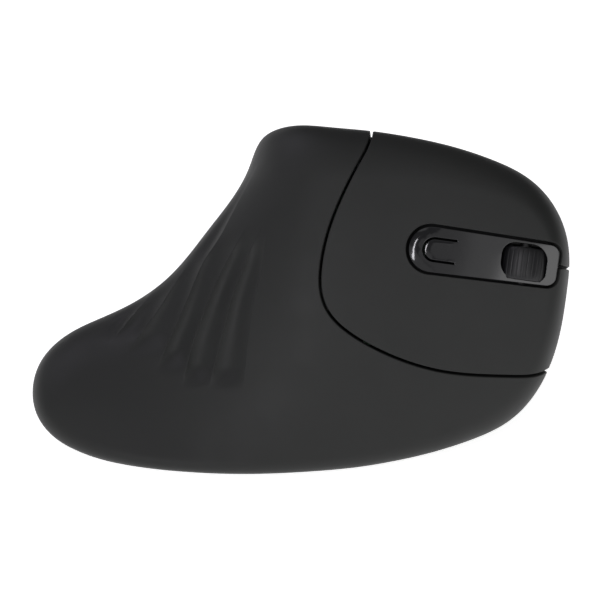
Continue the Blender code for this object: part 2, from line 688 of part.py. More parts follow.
def hidden_sheet(faces):
    normals = chart_normals(hidden_chart, HIDDEN)
    on_edge = HIDDEN[:, 1] < 0.001
    normals[on_edge] = outline_normals(HIDDEN[on_edge, 0])
    return hidden_chart(HIDDEN), normals, faces


def shell(name, material, pivot=None, sink=0.0, thickness=WALL):
    """One moulded piece of the skin, thickened inwards along the skin's own normals."""
    bm = bmesh.new()
    sheets = []
    if name in VISIBLE_SIDES:
        sheets.append(visible_sheet(VISIBLE_FACES[VISIBLE_SIDES[name]], sink))
    if name in HIDDEN_SIDES:
        sheets.append(hidden_sheet(HIDDEN_FACES[HIDDEN_SIDES[name]]))
    inward = bm.verts.layers.float_vector.new("inward")
    for points, normals, faces in sheets:
        used = {k: bm.verts.new(points[k]) for k in np.unique(faces)}
        for k, vert in used.items():
            vert[inward] = -normals[k] * thickness
        for corner in faces:
            bm.faces.new([used[k] for k in corner])
    bmesh.ops.remove_doubles(bm, verts=bm.verts, dist=0.01)
    outer = list(bm.faces)
    rim = [(edge.verts[0], edge.verts[1], edge.link_loops[0]) for edge in bm.edges if edge.is_boundary]
    below = {vert: bm.verts.new(vert.co + vert[inward]) for vert in list(bm.verts)}
    for polygon in outer:
        polygon.smooth = True
        bm.faces.new([below[vert] for vert in reversed(polygon.verts)]).smooth = True
    for a, b, loop in rim:
        if loop.vert is not a:
            a, b = b, a
        bm.faces.new([b, a, below[a], below[b]])
    return add(name, from_bmesh(name, bm), material, pivot or CENTRE)


VISIBLE_SIDES, HIDDEN_SIDES = visible_sides(), hidden_sides()


# ---------------------------------------------------------------- outer pieces

def height_at(x, s):
    """Height n of the finished skin at a place on the face."""
    point = face_chart([(x, s)])[0]
    return float(point[2] * SIN - point[1] * COS)


def face_point(x, s, n):
    return FACE_FRAME @ Vector((x, s, n))


KEY_PIVOT_S = {"left_button": 62.0, "right_button": 32.0}
DPI_PIVOT = on_strip(DPI_START + DPI_LENGTH, 0)
SIDE_OUT = Vector((0, 0.976, 0.219))
SIDE_UP = Vector((0, -0.219, 0.976))


def build_skin():
    shell("main_shell", SOFT_BLACK)
    shell("key_bridge", SOFT_BLACK, thickness=KEY_WALL)
    for name, s in KEY_PIVOT_S.items():
        pivot = face_point(KEY_HINGE_X, s, height_at(KEY_HINGE_X, s) - KEY_WALL / 2)
        shell(name, SOFT_BLACK, pivot, thickness=KEY_WALL)
    shell("centre_strip", GLOSS_BLACK, sink=STRIP_SINK, thickness=STRIP_WALL)
    depth = height_at(*DPI_PIVOT) - STRIP_SINK - STRIP_WALL / 2
    shell("dpi_button", GLOSS_BLACK, face_point(*DPI_PIVOT, depth), STRIP_SINK, STRIP_WALL)
    shell("thumb_panel", SOFT_BLACK)
    for name, t in SIDE_KEYS.items():
        shell(name, GLOSS_BLACK, Vector(hidden_chart([(t, SIDE_KEY_Q)])[0]))


# ---------------------------------------------------------------- scroll wheel

WHEEL_N = height_at(*WHEEL_MIDDLE) + WHEEL_PROUD - WHEEL_RADIUS
WHEEL_AXIS = FACE_FRAME.to_3x3() @ Vector((*STRIP_ACROSS, 0))
WHEEL_FORWARD = FACE_FRAME.to_3x3() @ Vector((*STRIP_ALONG, 0))
WHEEL_CENTRE = face_point(*WHEEL_MIDDLE, WHEEL_N)
WHEEL_FRAME = frame_at(WHEEL_CENTRE, (WHEEL_FORWARD, WHEEL_AXIS, OUT_FACE))
AXLE_RADIUS = 1.1
HUB_RADIUS = 4.4
CARRIER_REAR, CARRIER_FRONT = -8.6, 5.6
CARRIER_FLOOR = -7.6
CARRIER_WALL = 1.2
CARRIER_HALF = WHEEL_WIDTH / 2 + 0.4 + CARRIER_WALL
CARRIER_TOP = -AXLE_RADIUS - GAP


def build_wheel():
    half = WHEEL_WIDTH / 2
    tyre = [(HUB_RADIUS + GAP, half), (WHEEL_RADIUS - 0.4, half), (WHEEL_RADIUS, half - 0.5),
            (WHEEL_RADIUS, 0.5 - half), (WHEEL_RADIUS - 0.4, -half), (HUB_RADIUS + GAP, -half)]
    turned("wheel_tyre", tyre, RUBBER, WHEEL_CENTRE, WHEEL_AXIS, closed=True)
    hub = [(AXLE_RADIUS + GAP, half), (2.6, half), (2.6, half - 1.2), (HUB_RADIUS, half - 1.2),
           (HUB_RADIUS, 1.2 - half), (2.6, 1.2 - half), (2.6, -half), (AXLE_RADIUS + GAP, -half)]
    turned("wheel_hub", hub, ABS_BLACK, WHEEL_CENTRE, WHEEL_AXIS, closed=True)
    rod("wheel_axle", AXLE_RADIUS, 2 * CARRIER_HALF + 0.2, (0, 0, 0), ABS_BLACK, WHEEL_FRAME,
        Matrix.Rotation(math.pi / 2, 4, "X"))
    inner = CARRIER_HALF - CARRIER_WALL
    section = [(-CARRIER_HALF, CARRIER_TOP), (-CARRIER_HALF, CARRIER_FLOOR), (CARRIER_HALF, CARRIER_FLOOR),
               (CARRIER_HALF, CARRIER_TOP), (inner, CARRIER_TOP), (inner, CARRIER_FLOOR + CARRIER_WALL),
               (-inner, CARRIER_FLOOR + CARRIER_WALL), (-inner, CARRIER_TOP)]
    upright = WHEEL_FRAME @ frame_at((0, 0, 0), ((0, 1, 0), (0, 0, 1), (1, 0, 0)))
    pivot = WHEEL_FRAME @ Vector((CARRIER_REAR, 0, 0))
    plate("wheel_carrier", section, [], CARRIER_REAR, CARRIER_FRONT, ABS_BLACK, upright, pivot)
    box("encoder", (7.0, 3.4, 5.4), (0, -CARRIER_HALF - GAP - 1.9, -3.3), ABS_GREY, WHEEL_FRAME)


# ---------------------------------------------------------------- switches and boards

BOARD_TOP = 2.9
BOARD_THICK = 1.4
BRACKET_THICK = 1.6
SWITCH_SIZE = (12.8, 5.8, 6.5)
SWITCHES = {"left": (42.0, 56.5), "right": (42.0, 31.8)}
TACT_SIZE = (6.0, 6.0, 3.4)
STEM_ROOM = 0.8                          # room below the stems that travel furthest
DPI_SWITCH = (31.0, 48.2)


def build_key_switches():
    for side, (x, s) in SWITCHES.items():
        low = BOARD_TOP + GAP
        top = low + SWITCH_SIZE[2]
        box(side + "_switch", SWITCH_SIZE, (x, s, (low + top) / 2), CHIP, FACE_FRAME)
        reach = height_at(x, s) - WALL - GAP - 0.15 - top - GAP
        box(side + "_plunger", (1.6, 2.6, reach), (x, s, top + GAP + reach / 2), ABS_WHITE, FACE_FRAME)
    x, s = DPI_SWITCH
    low = BOARD_TOP + GAP
    box("dpi_switch", (6, 6, 4.6), (x, s, low + 2.3), CHIP, FACE_FRAME)
    base = low + 4.6 + GAP
    reach = height_at(x, s) - STRIP_SINK - STRIP_WALL - 1.5 * GAP - base
    rod("dpi_plunger", 1.2, reach, (x, s, base + reach / 2), ABS_WHITE, FACE_FRAME)


def build_wheel_switch():
    stem = 0.9
    rod("middle_plunger", 1.6, stem, (1.5, 0, CARRIER_FLOOR - GAP - stem / 2), ABS_WHITE, WHEEL_FRAME)
    top = CARRIER_FLOOR - GAP - stem - STEM_ROOM
    box("middle_switch", TACT_SIZE, (1.5, 0, top - TACT_SIZE[2] / 2), CHIP, WHEEL_FRAME)
    board = top - TACT_SIZE[2] - GAP
    box("wheel_board", (12, 12, BOARD_THICK), (-1.5, 0, board - BOARD_THICK / 2), BOARD, WHEEL_FRAME)


def build_side_switches():
    """Board behind the thumb buttons, with one small switch for each."""
    middle = (Vector(hidden_chart([(sum(SIDE_KEYS.values()) / 2, SIDE_KEY_Q)])[0]))
    frame = frame_at(middle, ((-1, 0, 0), SIDE_UP, SIDE_OUT))
    to_side = frame.inverted()
    deepest = 0.0
    for name, t in SIDE_KEYS.items():
        deepest = min(deepest, (to_side @ Vector(hidden_chart([(t, SIDE_KEY_Q)])[0])).z)
    top = deepest - WALL - 2.4
    for name, t in SIDE_KEYS.items():
        place = to_side @ Vector(hidden_chart([(t, SIDE_KEY_Q)])[0])
        stem = name.split("_")[0]
        box(stem + "_switch", TACT_SIZE, (place.x, place.y, top - TACT_SIZE[2] / 2), CHIP, frame)
        reach = place.z - WALL - 3 * GAP - STEM_ROOM - top
        middle_height = top + STEM_ROOM + reach / 2
        rod(stem + "_plunger", 1.5, reach, (place.x, place.y, middle_height), ABS_WHITE, frame)
    board = top - TACT_SIZE[2] - GAP
    box("side_board", (30, 9, BOARD_THICK), (0, 0, board - BOARD_THICK / 2), BOARD, frame)


def build_boards():
    low, high = BOARD_TOP - BOARD_THICK, BOARD_TOP
    arms = [(14, 28), (49, 28), (49, 38.8), (38.6, 38.8), (38.6, 53.2), (47.5, 53.2), (47.5, 60), (17, 60)]
    plate("key_board", arms, [circle(24, 33, 1.2, 12), circle(24, 56, 1.2, 12)], low, high, BOARD, FACE_FRAME)
    bracket = [(14, 28), (37, 28), (37, 59), (17, 59)]
    top = low - GAP
    window = rectangle(27, 44, 12, 18)
    plate("key_bracket", bracket, [window], top - BRACKET_THICK, top, ABS_BLACK, FACE_FRAME)
    rest = face_point(20, 28, top - BRACKET_THICK)
    foot = MAIN_BOARD_TOP + GAP
    for name, x in (("front_post", 35.5), ("rear_post", 17.0)):
        head = rest.z - 1.6
        box(name, (4, 4, head - foot), (x, rest.y + 2.4, (head + foot) / 2), ABS_BLACK)
    board = [(14.5, 9), (30, 10.5), (38, 17), (43.5, 24), (43.5, 38), (14.5, 38)]
    plate("main_board", board, [circle(*SENSOR, 3.2)], MAIN_BOARD_TOP - 1.2, MAIN_BOARD_TOP, BOARD)
    box("controller_chip", (6, 6, 1.0), (40, 27.5, MAIN_BOARD_TOP + GAP + 0.5), CHIP)
    box("sensor", (9.5, 8, 2.4), (*SENSOR, MAIN_BOARD_TOP + GAP + 1.2), CHIP)
    rod("sensor_lens", 2.9, 4.2, (*SENSOR, MAIN_BOARD_TOP + 0.2 - 2.1), CLEAR)
    box("sensor_led", (3.2, 3.2, 4.0), (SENSOR[0] + 7.4, SENSOR[1], MAIN_BOARD_TOP + GAP + 2.0), CLEAR)


# ---------------------------------------------------------------- base, battery, receiver

MAIN_BOARD_TOP = 6.6
SENSOR = (24.5, 25.0)
CELL_RADIUS, CELL_LENGTH = 7.1, 50.0
CELL_MIDDLE = (-15.5, 20.0, 9.9)
DOOR = (58.0, 17.0)
DOOR_MIDDLE = (-16.0, 20.0)
RECEIVER_BAY = (21.0, 15.6)
RECEIVER_MIDDLE = (23.0, 48.5)
SLIDER_SLOT = (8.0, 4.6)
SLIDER_MIDDLE = (37.5, 32.0)
SCREWS = {"screw_rear": (-50.5, 22.0), "screw_side": (-14.0, 39.5), "screw_front": (43.0, 47.5)}
GLIDES = {                               # middle, length and width, and corner radius
    "glide_rear": ((-38.5, 8.4, 9.0, 4.6), 2.2), "glide_front": ((27.5, 14.0, 14.0, 4.6), 2.0),
    "glide_thumb": ((2.0, 52.0, 12.0, 6.0), 2.5), "glide_tail": ((-46.0, 35.0, 8.0, 7.0), 2.5)}


def foot_loop(inset, count=90):
    """Plan of the foot of the shell, moved inwards."""
    t = np.linspace(0, ROUND, count, endpoint=False)
    plan = outline(t)[:, 4:6]
    along = np.roll(plan, -1, axis=0) - np.roll(plan, 1, axis=0)
    along /= np.linalg.norm(along, axis=1)[:, None]
    return plan + np.stack([along[:, 1], -along[:, 0]], -1) * inset


def build_base():
    holes = [circle(*SENSOR, 3.2), rectangle(*DOOR_MIDDLE, DOOR[0], DOOR[1], 2.0),
             rectangle(*RECEIVER_MIDDLE, *RECEIVER_BAY, 1.0), rectangle(*SLIDER_MIDDLE, *SLIDER_SLOT, 1.0)]
    holes += [circle(x, y, 1.5, 12) for x, y in SCREWS.values()]
    plate("base_plate", foot_loop(WALL + 0.9), holes, BASE_UNDER + 1.0, BASE_TOP, ABS_BLACK)
    plate("battery_door", rectangle(*DOOR_MIDDLE, DOOR[0] - 2 * GAP, DOOR[1] - 2 * GAP, 1.8), [],
          BASE_UNDER, BASE_UNDER + 1.4, ABS_BLACK)
    for name, (x, y) in SCREWS.items():
        profile = [(0, 9.0), (1.15, 8.6), (1.15, BASE_UNDER + 0.7), (2.3, BASE_UNDER + 0.7),
                   (2.3, BASE_UNDER - 0.3), (0, BASE_UNDER - 0.3)]
        turned(name, profile, STEEL, (x, y, 0), (0, 0, 1), steps=16)
    box("slider_knob", (SLIDER_SLOT[0] - 2.6 - 2 * GAP, SLIDER_SLOT[1] - 2 * GAP, 2.6),
        (SLIDER_MIDDLE[0] - 1.15, SLIDER_MIDDLE[1], BASE_UNDER + 1.4), ABS_GREY)
    box("slide_switch", (9.0, 4.0, 1.6), (*SLIDER_MIDDLE, 4.35), CHIP)


def build_glides():
    for name, (pad, corner) in GLIDES.items():
        plate(name, rectangle(*pad, corner), [], 0.0, BASE_UNDER + 1.0 - GAP, GLIDE)


def build_battery():
    r, half = CELL_RADIUS, CELL_LENGTH / 2
    cell = [(0, half), (2.7, half), (2.7, half - 1.2), (r - 0.4, half - 1.2), (r, half - 1.8),
            (r, -half + 0.5), (r - 0.5, -half), (0, -half)]
    turned("battery_cell", cell, CELL, CELL_MIDDLE, (1, 0, 0), steps=32)
    x, y, z = CELL_MIDDLE
    box("contact_plate", (0.5, 10, 9), (x + half + GAP + 0.25, y, z + 0.5), STEEL)
    spring(x - half - GAP)


def spring(top):
    """Conical contact spring behind the cell."""
    turns, wire = 3.5, 0.35
    points = []
    for k in range(57):
        share = k / 56
        a = share * turns * 2 * math.pi
        radius = 2.2 + 2.4 * share
        points.append((-wire - share * 3.2, radius * math.cos(a), radius * math.sin(a)))
    curve = bpy.data.curves.new("contact_spring", "CURVE")
    curve.dimensions = "3D"
    line = curve.splines.new("POLY")
    line.points.add(len(points) - 1)
    for node, point in zip(line.points, points):
        node.co = (*(c * MM for c in point), 1)
    curve.bevel_depth = wire * MM
    curve.bevel_resolution = 1
    curve.use_fill_caps = True
    curve.materials.append(STEEL)
    obj = bpy.data.objects.new("contact_spring", curve)
    obj.location = (Vector((top, *CELL_MIDDLE[1:])) - CENTRE) * MM
    PARTS.objects.link(obj)


def build_receiver():
    x, y = RECEIVER_MIDDLE
    bm = bmesh.new()
    size = (RECEIVER_BAY[0] + 0.6, RECEIVER_BAY[1] + 0.6, 6.6)
    place = Matrix.Translation((x, y, BASE_TOP + GAP + size[2] / 2)) @ Matrix.Diagonal((*size, 1))
    bmesh.ops.create_cube(bm, size=1, matrix=place)
    under = [polygon for polygon in bm.faces if polygon.calc_center_median().z < BASE_TOP + GAP + 0.01]
    bmesh.ops.delete(bm, geom=under, context="FACES")
    bay = add("receiver_bay", from_bmesh("receiver_bay", bm), ABS_BLACK, (x, y, BASE_TOP))
    solid = bay.modifiers.new("thickness", "SOLIDIFY")
    solid.thickness = 1.2 * MM
    solid.offset = 1.0
    solid.use_even_offset = True
    box("receiver_plug", (12.0, 12.0, 4.5), (x - 4.2, y, 5.6), STEEL)
    box("receiver_cap", (7.0, 14.4, 6.4), (x + 5.8, y, 5.6), ABS_BLACK)


build_skin()
build_wheel()
build_key_switches()
build_wheel_switch()
build_side_switches()
build_boards()
build_base()
build_glides()
build_battery()
build_receiver()
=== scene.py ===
"""Looks of the upright wireless mouse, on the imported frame.

The outer skin is worked out here again at a fine pitch, from the same outline, face heights and thumb
scoop as the model. Lengths are millimetres until a mesh is made. Points on the leaning face are given
as x (towards the front), s (up the face) and n (out of it).
"""
import bpy
import bmesh
import json
import math
import numpy as np
from numpy.linalg import norm
from mathutils import Matrix, Vector
from mathutils.geometry import delaunay_2d_cdt


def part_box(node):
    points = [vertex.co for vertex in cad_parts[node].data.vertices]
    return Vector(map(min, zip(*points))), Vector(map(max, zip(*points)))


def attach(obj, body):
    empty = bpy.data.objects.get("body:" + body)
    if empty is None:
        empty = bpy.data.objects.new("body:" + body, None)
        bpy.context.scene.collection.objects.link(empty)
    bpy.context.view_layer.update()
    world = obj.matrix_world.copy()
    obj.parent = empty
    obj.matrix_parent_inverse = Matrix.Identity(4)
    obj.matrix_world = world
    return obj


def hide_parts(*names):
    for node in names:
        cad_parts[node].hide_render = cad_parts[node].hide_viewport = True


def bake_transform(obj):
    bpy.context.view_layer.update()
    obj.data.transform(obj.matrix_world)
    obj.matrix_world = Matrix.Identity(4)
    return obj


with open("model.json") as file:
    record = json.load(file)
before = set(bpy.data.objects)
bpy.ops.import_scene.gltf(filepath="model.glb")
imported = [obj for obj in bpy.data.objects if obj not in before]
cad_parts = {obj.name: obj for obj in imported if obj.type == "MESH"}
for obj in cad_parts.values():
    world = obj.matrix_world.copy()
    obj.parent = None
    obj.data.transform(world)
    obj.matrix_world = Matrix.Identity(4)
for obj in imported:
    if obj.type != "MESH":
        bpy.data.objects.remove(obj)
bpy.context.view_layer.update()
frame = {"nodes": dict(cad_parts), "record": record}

MM = 0.001
TILT = math.radians(34.0)
SIN, COS = math.sin(TILT), math.cos(TILT)
CENTRE = np.array([-0.17, 30.2, 0.0])  # middle of the footprint, moved to the origin
OUT_FACE = np.array([0, -COS, SIN])

ROLL = 0.28  # radius of the moulded edges
FINE_ROLL = 0.14  # radius of the edges of the glossy pieces
WALL = 1.8
KEY_WALL = 1.4
STRIP_WALL = 1.0
SEAM = 0.5  # clear width of the seam round the key plate
SPLIT = 0.5  # clear width of the split between the two keys
PANEL_GAP = 0.5
KEY_LIP = 4.0  # how far the keys reach over the ridge
LIP_GAP = 1.1
RIM_Z = 1.2  # height of the lower rim of the shell
CHUNK = 1000  # points that are handled at a time

# x, s, width of the rolled edge, depth of the rolled edge, foot x, foot y, share of thumb scoop
OUTLINE = [
    (-59.2, 17.4, 7.5, 7.0, -58.2, 21.2, 0.0),
    (-57.8, 23.7, 9.0, 8.0, -57.0, 28.0, 0.0),
    (-50.9, 30.6, 11.0, 8.0, -53.0, 37.0, 0.0),
    (-44.2, 33.8, 12.0, 7.5, -47.0, 43.0, 0.0),
    (-37.5, 36.9, 12.0, 7.0, -38.5, 47.0, 0.1),
    (-28.7, 43.1, 11.0, 7.0, -28.0, 49.5, 0.3),
    (-20.0, 53.5, 11.0, 8.0, -17.0, 52.0, 0.6),
    (-11.0, 67.3, 11.0, 9.0, -7.0, 56.0, 0.9),
    (-7.8, 73.8, 11.0, 9.0, -2.5, 58.5, 1.0),
    (-3.2, 75.8, 12.0, 8.0, 3.0, 60.6, 1.0),
    (6.6, 75.6, 12.0, 7.5, 10.0, 63.0, 1.0),
    (15.4, 74.7, 11.0, 7.0, 17.0, 65.0, 1.0),
    (24.2, 73.3, 10.0, 7.0, 24.0, 66.0, 1.0),
    (33.0, 71.3, 9.0, 7.0, 31.0, 65.5, 1.0),
    (41.8, 68.4, 8.0, 7.5, 38.0, 63.0, 0.9),
    (50.4, 63.9, 6.5, 8.5, 45.0, 57.5, 0.6),
    (55.0, 59.0, 5.5, 9.0, 49.0, 51.0, 0.35),
    (57.8, 53.2, 5.0, 9.5, 51.5, 44.0, 0.15),
    (58.8, 48.0, 4.5, 10.0, 52.4, 38.0, 0.0),
    (58.3, 38.9, 4.5, 10.0, 52.6, 33.0, 0.0),
    (57.1, 31.0, 4.5, 9.5, 51.6, 28.6, 0.0),
    (54.8, 23.1, 4.5, 9.0, 50.0, 24.8, 0.0),
    (52.1, 17.8, 4.5, 8.0, 48.0, 21.1, 0.0),
    (46.2, 11.4, 4.5, 6.0, 43.0, 15.4, 0.0),
    (37.4, 7.1, 4.0, 4.5, 35.6, 9.6, 0.0),
    (28.6, 4.4, 3.4, 3.6, 28.0, 5.6, 0.0),
    (15.4, 1.8, 3.0, 3.0, 15.2, 1.1, 0.0),
    (2.2, 0.5, 3.0, 2.8, 2.2, -1.1, 0.0),
    (-11.0, 0.0, 3.0, 2.8, -11.0, -2.0, 0.0),
    (-24.2, 0.4, 3.0, 2.8, -24.0, -1.3, 0.0),
    (-37.4, 1.8, 3.0, 2.8, -37.0, 1.1, 0.0),
    (-46.2, 3.8, 3.4, 3.2, -45.6, 4.5, 0.0),
    (-53.7, 7.3, 4.5, 4.2, -52.8, 10.2, 0.0),
    (-58.1, 12.5, 6.0, 5.6, -57.0, 16.6, 0.0),
]
# height n of the face before its edge rolls away, at stations along x and up s
FACE_X = (-60, -45, -30, -15, 0, 15, 30, 45, 60)
FACE_S = (0, 15, 30, 45, 60, 76)
FACE_N = [
    (-4.0, -5.5, -11.0, -19.0, -28.0, -38.0),
    (2.6, -0.8, -7.2, -15.0, -23.0, -31.0),
    (7.0, 3.2, -0.6, -4.5, -11.0, -18.0),
    (9.0, 7.6, 6.4, 4.4, 0.0, -7.0),
    (8.8, 10.8, 12.2, 12.2, 10.4, 7.0),
    (7.2, 11.2, 13.8, 14.6, 13.6, 11.0),
    (4.4, 10.0, 13.6, 15.2, 14.8, 12.6),
    (-0.8, 7.4, 12.6, 15.2, 15.2, 13.2),
    (-8.5, 3.2, 10.2, 14.2, 14.6, 12.8),
]
# thumb scoop: share of the way out to the foot, share of the drop
SCOOP = [(0, 0), (0.26, 0.127), (0.36, 0.31), (0.38, 0.50), (0.46, 0.65),
         (0.68, 0.765), (0.916, 0.85), (1.03, 0.92), (1, 1)]
ROLL_POWER = 2.3
CROWD = 5.0  # how sharply the nearest edge decides the roll
ROLL_NEAR = 3.0  # nearer to the outline than this, the plain distance takes over
TOO_NEAR = 0.05
FLANK_HANDLES = (0.30, 0.35)  # how far the plain flank runs on straight at its top and at its foot

KEY_SEAM = [(15.9, 77.5), (15.8, 74.6), (14.6, 70.7), (11.7, 65.3), (7.3, 55.7), (4.9, 46.8),
            (4.7, 39.6), (8.1, 33.0), (17.6, 26.8), (30.8, 22.4), (44.0, 21.3), (52.0, 21.6),
            (58.0, 24.2)]
KEY_BEND = (24.0, 30.0)  # the keys' bend lies between these x; points there are found, but the keys are not bent
BEND_S = {"upper": 62.0, "lower": 32.0}  # height up the face of the points found for each key's bend

# crests between the finger flutes, as x, s from the top down
CRESTS = [
    [(-34.5, 37.0), (-37.0, 34.1), (-39.6, 30.8)],
    [(-24.9, 45.1), (-26.8, 42.2), (-30.1, 37.0), (-34.8, 30.4)],
    [(-11.0, 63.8), (-15.4, 55.4), (-17.6, 51.3), (-20.5, 46.9), (-23.5, 40.3), (-26.8, 32.6), (-29.7, 26.4)],
    [(-14.3, 48.8), (-18.7, 40.3), (-20.9, 34.8), (-22.7, 30.1), (-24.6, 23.1)],
    [(-8.4, 53.2), (-9.5, 51.0), (-12.8, 43.3), (-14.7, 38.1), (-16.1, 33.0), (-17.6, 27.1), (-19.3, 20.2)],
    [(-7.5, 49.5), (-8.4, 43.3), (-9.9, 37.4), (-10.6, 33.0), (-11.4, 26.4), (-11.9, 21.6)],
]
CREST_TOPS = (42.0, 45.0, 68.0, 53.0, 53.0, 52.0)  # how far up each crest is kept as an edge
# crest on the left, crest on the right, lowest and highest s of the scoop, depth
FLUTES = [
    (None, 0, 28.0, 42.0, 1.1),
    (0, 1, 28.0, 44.0, 1.3),
    (1, 2, 25.0, 52.0, 1.3),
    (None, 2, 44.0, 70.0, 1.1),
    (2, 3, 21.5, 54.0, 1.25),
    (3, 4, 18.5, 55.0, 1.25),
    (4, 5, 18.0, 55.0, 1.2),
]
OPEN_WIDTH = 4.5  # width of a scoop that has no crest on its left
OPEN_PEAK = 6.75  # makes its deepest place 1
NARROW_FLUTE = (0.8, 4.5)  # scoops fade in from the first width, over the second
NARROWEST = 0.5
FLUTE_FADE = (5.5, 9.0)  # run-out at the low end and at the top
FLUTE_EDGE = (0.3, 2.5)  # scoops fade in from this distance from the outline, over this width
CREST_FLANKS = (0.12, 0.32, 0.6)  # rows of points kept beside each crest

STRIP_LEAN = math.radians(7.8)  # the strip falls towards the front by this much
STRIP_ALONG = np.array([math.cos(STRIP_LEAN), -math.sin(STRIP_LEAN)])
STRIP_ACROSS = np.array([math.sin(STRIP_LEAN), math.cos(STRIP_LEAN)])
STRIP_REAR = np.array([28.6, 48.75])  # middle of its round rear end
STRIP_LENGTH = 27.5
STRIP_HALF = (5.05, 4.45)  # half its height at the rear and at the front
STRIP_CORNER = 2.1
STRIP_SINK = 0.35
STRIP_GAP = 0.55
STRIP_FRONT_GAP = 0.6
STRIP_SHIFT = -0.05  # the strip sits a little low in its slot
STRIP_ROLL = 0.18  # radius of the strip's outer edge
STRIP_ROUND = 0.97  # share of its half height that its rear corners take as radius
PILLOW = (0.4, 1.9, 1.5)  # fall of its rear end towards its edge, its width and power
PILLOW_END = (1.5, 4.0)  # the fall ends here along the strip, and fades in over this length
FLAT_FROM = 24.5  # from here forwards the strip is flatter than the keys beside it
FLAT_SHARE = 0.85
WINDOW_MIDDLE = np.array([48.5, 46.05])
WHEEL_WINDOW = (9.9, 7.8)
WINDOW_CORNERS = (3.5, 1.9, 3.6, 2.7)  # radius at the rear below, front below, front above, rear above
WHEEL_RADIUS = 5.4
WHEEL_WIDTH = 7.1
WHEEL_SHIFT = -0.25  # the tyre sits a little low in its window
# half the tyre's section, from its bore outwards: radius, distance in from its side
TYRE = [(4.72, 0.1), (4.86, 0.0), (5.04, 0.16), (5.2, 0.6), (5.3, 1.2), (5.36, 1.9), (WHEEL_RADIUS, 2.8)]
WHEEL_RIBS = 30
RIB_STEPS = 16  # steps from one rib to the next
RIB_DEPTH = 0.07
RIB_POWER = 5  # how narrow the grooves between the ribs are
RIB_FOOT = (4.9, 0.3)  # the grooves fade in from this radius, over this height
TONGUE = 2.29  # half the height of the small key on its tongue
TONGUE_MIDDLE = 0.66  # middle of its round end, along the strip
TONGUE_ARC = 33  # points round that end
TONGUE_FRONT = 5.4  # where its two slots end
TONGUE_ROLL = 0.22
TONGUE_CROWN = (0.14, 1.0)  # how far its surface falls towards its edge, and over what width
TONGUE_FADE = 2.0  # the fall ends over this length at its front
TONGUE_BEND = 3.0  # length behind its front at which a point is found for its bend; it is not bent
SLOT = 0.4
TONGUE_SLOT = TONGUE + SLOT + FINE_ROLL  # from its middle to the flat of the strip beyond the slot
# near-black ledge below the gap, painted shade: it stands for the holder's ledge and is made near-black to
# paint the shadow of the deep gap. How far it reaches out under the keys, in under the strip and off the
# window
GAP_SHADE_LEDGE = (0.9, 1.0, 0.7)
GAP_SHADE_SINK, GAP_SHADE_WALL = 3.0, 0.8


# -------- the skin

def spline(knots, values, at, periodic=False):
    """Natural or periodic cubic through values at knots, read at the given places."""
    knots = np.asarray(knots, float)
    values = np.asarray(values, float)
    count = len(knots) - 1
    step = np.diff(knots)
    rows = count if periodic else count + 1
    matrix = np.zeros((rows, rows))
    right = np.zeros((rows, values.shape[1]))
    for i in range(rows):
        if not periodic and i in (0, count):
            matrix[i, i] = 1.0
            continue
        before, after = step[i - 1], step[i]
        matrix[i, (i - 1) % rows] += before
        matrix[i, i] += 2 * (before + after)
        matrix[i, (i + 1) % rows] += after
        last = values[(i - 1) % count] if periodic else values[i - 1]
        right[i] = 6 * ((values[i + 1] - values[i]) / after - (values[i] - last) / before)
    bend = np.linalg.solve(matrix, right)
    at = np.asarray(at, float)
    if periodic:
        bend = np.vstack([bend, bend[:1]])
        at = knots[0] + np.mod(at - knots[0], knots[-1] - knots[0])
    k = np.clip(np.searchsorted(knots, at, side="right") - 1, 0, count - 1)
    h = step[k][..., None]
    u = (at - knots[k])[..., None]
    slope = (values[k + 1] - values[k]) / h - h * (2 * bend[k] + bend[k + 1]) / 6
    return values[k] + u * slope + u * u * bend[k] / 2 + u ** 3 * (bend[k + 1] - bend[k]) / (6 * h)


OUTLINE_ROWS = np.array(OUTLINE + OUTLINE[:1], float)
OUTLINE_RUN = np.concatenate([[0], np.cumsum(np.hypot(*np.diff(OUTLINE_ROWS[:, :2], axis=0).T))])
ROUND = OUTLINE_RUN[-1]  # once round the outline


def outline(t):
    return spline(OUTLINE_RUN, OUTLINE_ROWS, t, periodic=True)


EDGE_STEP = 0.3
EDGE = outline(np.arange(0, ROUND, EDGE_STEP))
EDGE_NEXT = np.roll(EDGE, -1, axis=0)


def unit(rows):
    return rows / norm(rows, axis=1)[:, None]


def ease(value):
    """Smooth step from 0 to 1."""
    value = np.clip(value, 0, 1)
    return value * value * (3 - 2 * value)


def face(x, s):
    """Height of the face without its rolled edge."""
    along = spline(FACE_X, np.eye(len(FACE_X)), x)
    up = spline(FACE_S, np.eye(len(FACE_S)), s)
    return np.einsum("...i,ij,...j->...", along, np.array(FACE_N), up)


def edge_distance(points):
    """Distance of each x, s point from the outline."""
    a, b = EDGE[:, :2], EDGE_NEXT[:, :2]
    run = b - a
    share = ((points[:, None] - a) * run).sum(-1) / (run * run).sum(-1)
    foot = a + np.clip(share, 0, 1)[..., None] * run
    return norm(points[:, None] - foot, axis=-1).min(1)


def rolled(points):
    """How far the skin has dropped below the face near the outline."""
    drop = np.zeros(len(points))
    crowd = math.sqrt(math.pi) * math.gamma((CROWD - 1) / 2) / math.gamma(CROWD / 2)
    for first in range(0, len(points), CHUNK):
        part = points[first:first + CHUNK]
        away = np.maximum(norm(part[:, None] - EDGE[None, :, :2], axis=-1), TOO_NEAR)
        weight = away ** -CROWD
        total = weight.sum(1)
        soft = (crowd / (total * EDGE_STEP)) ** (1 / (CROWD - 1))
        near = edge_distance(part)
        mix = ease(near / ROLL_NEAR)
        width = (weight * EDGE[:, 2]).sum(1) / total
        depth = (weight * EDGE[:, 3]).sum(1) / total
        share = np.clip((near * (1 - mix) + soft * mix) / width, 0, 1)
        drop[first:first + CHUNK] = depth * (1 - (1 - (1 - share) ** ROLL_POWER) ** (1 / ROLL_POWER))
    return drop


def to_world(x, s, n):
    return np.stack([x, s * SIN - n * COS, s * COS + n * SIN], -1)


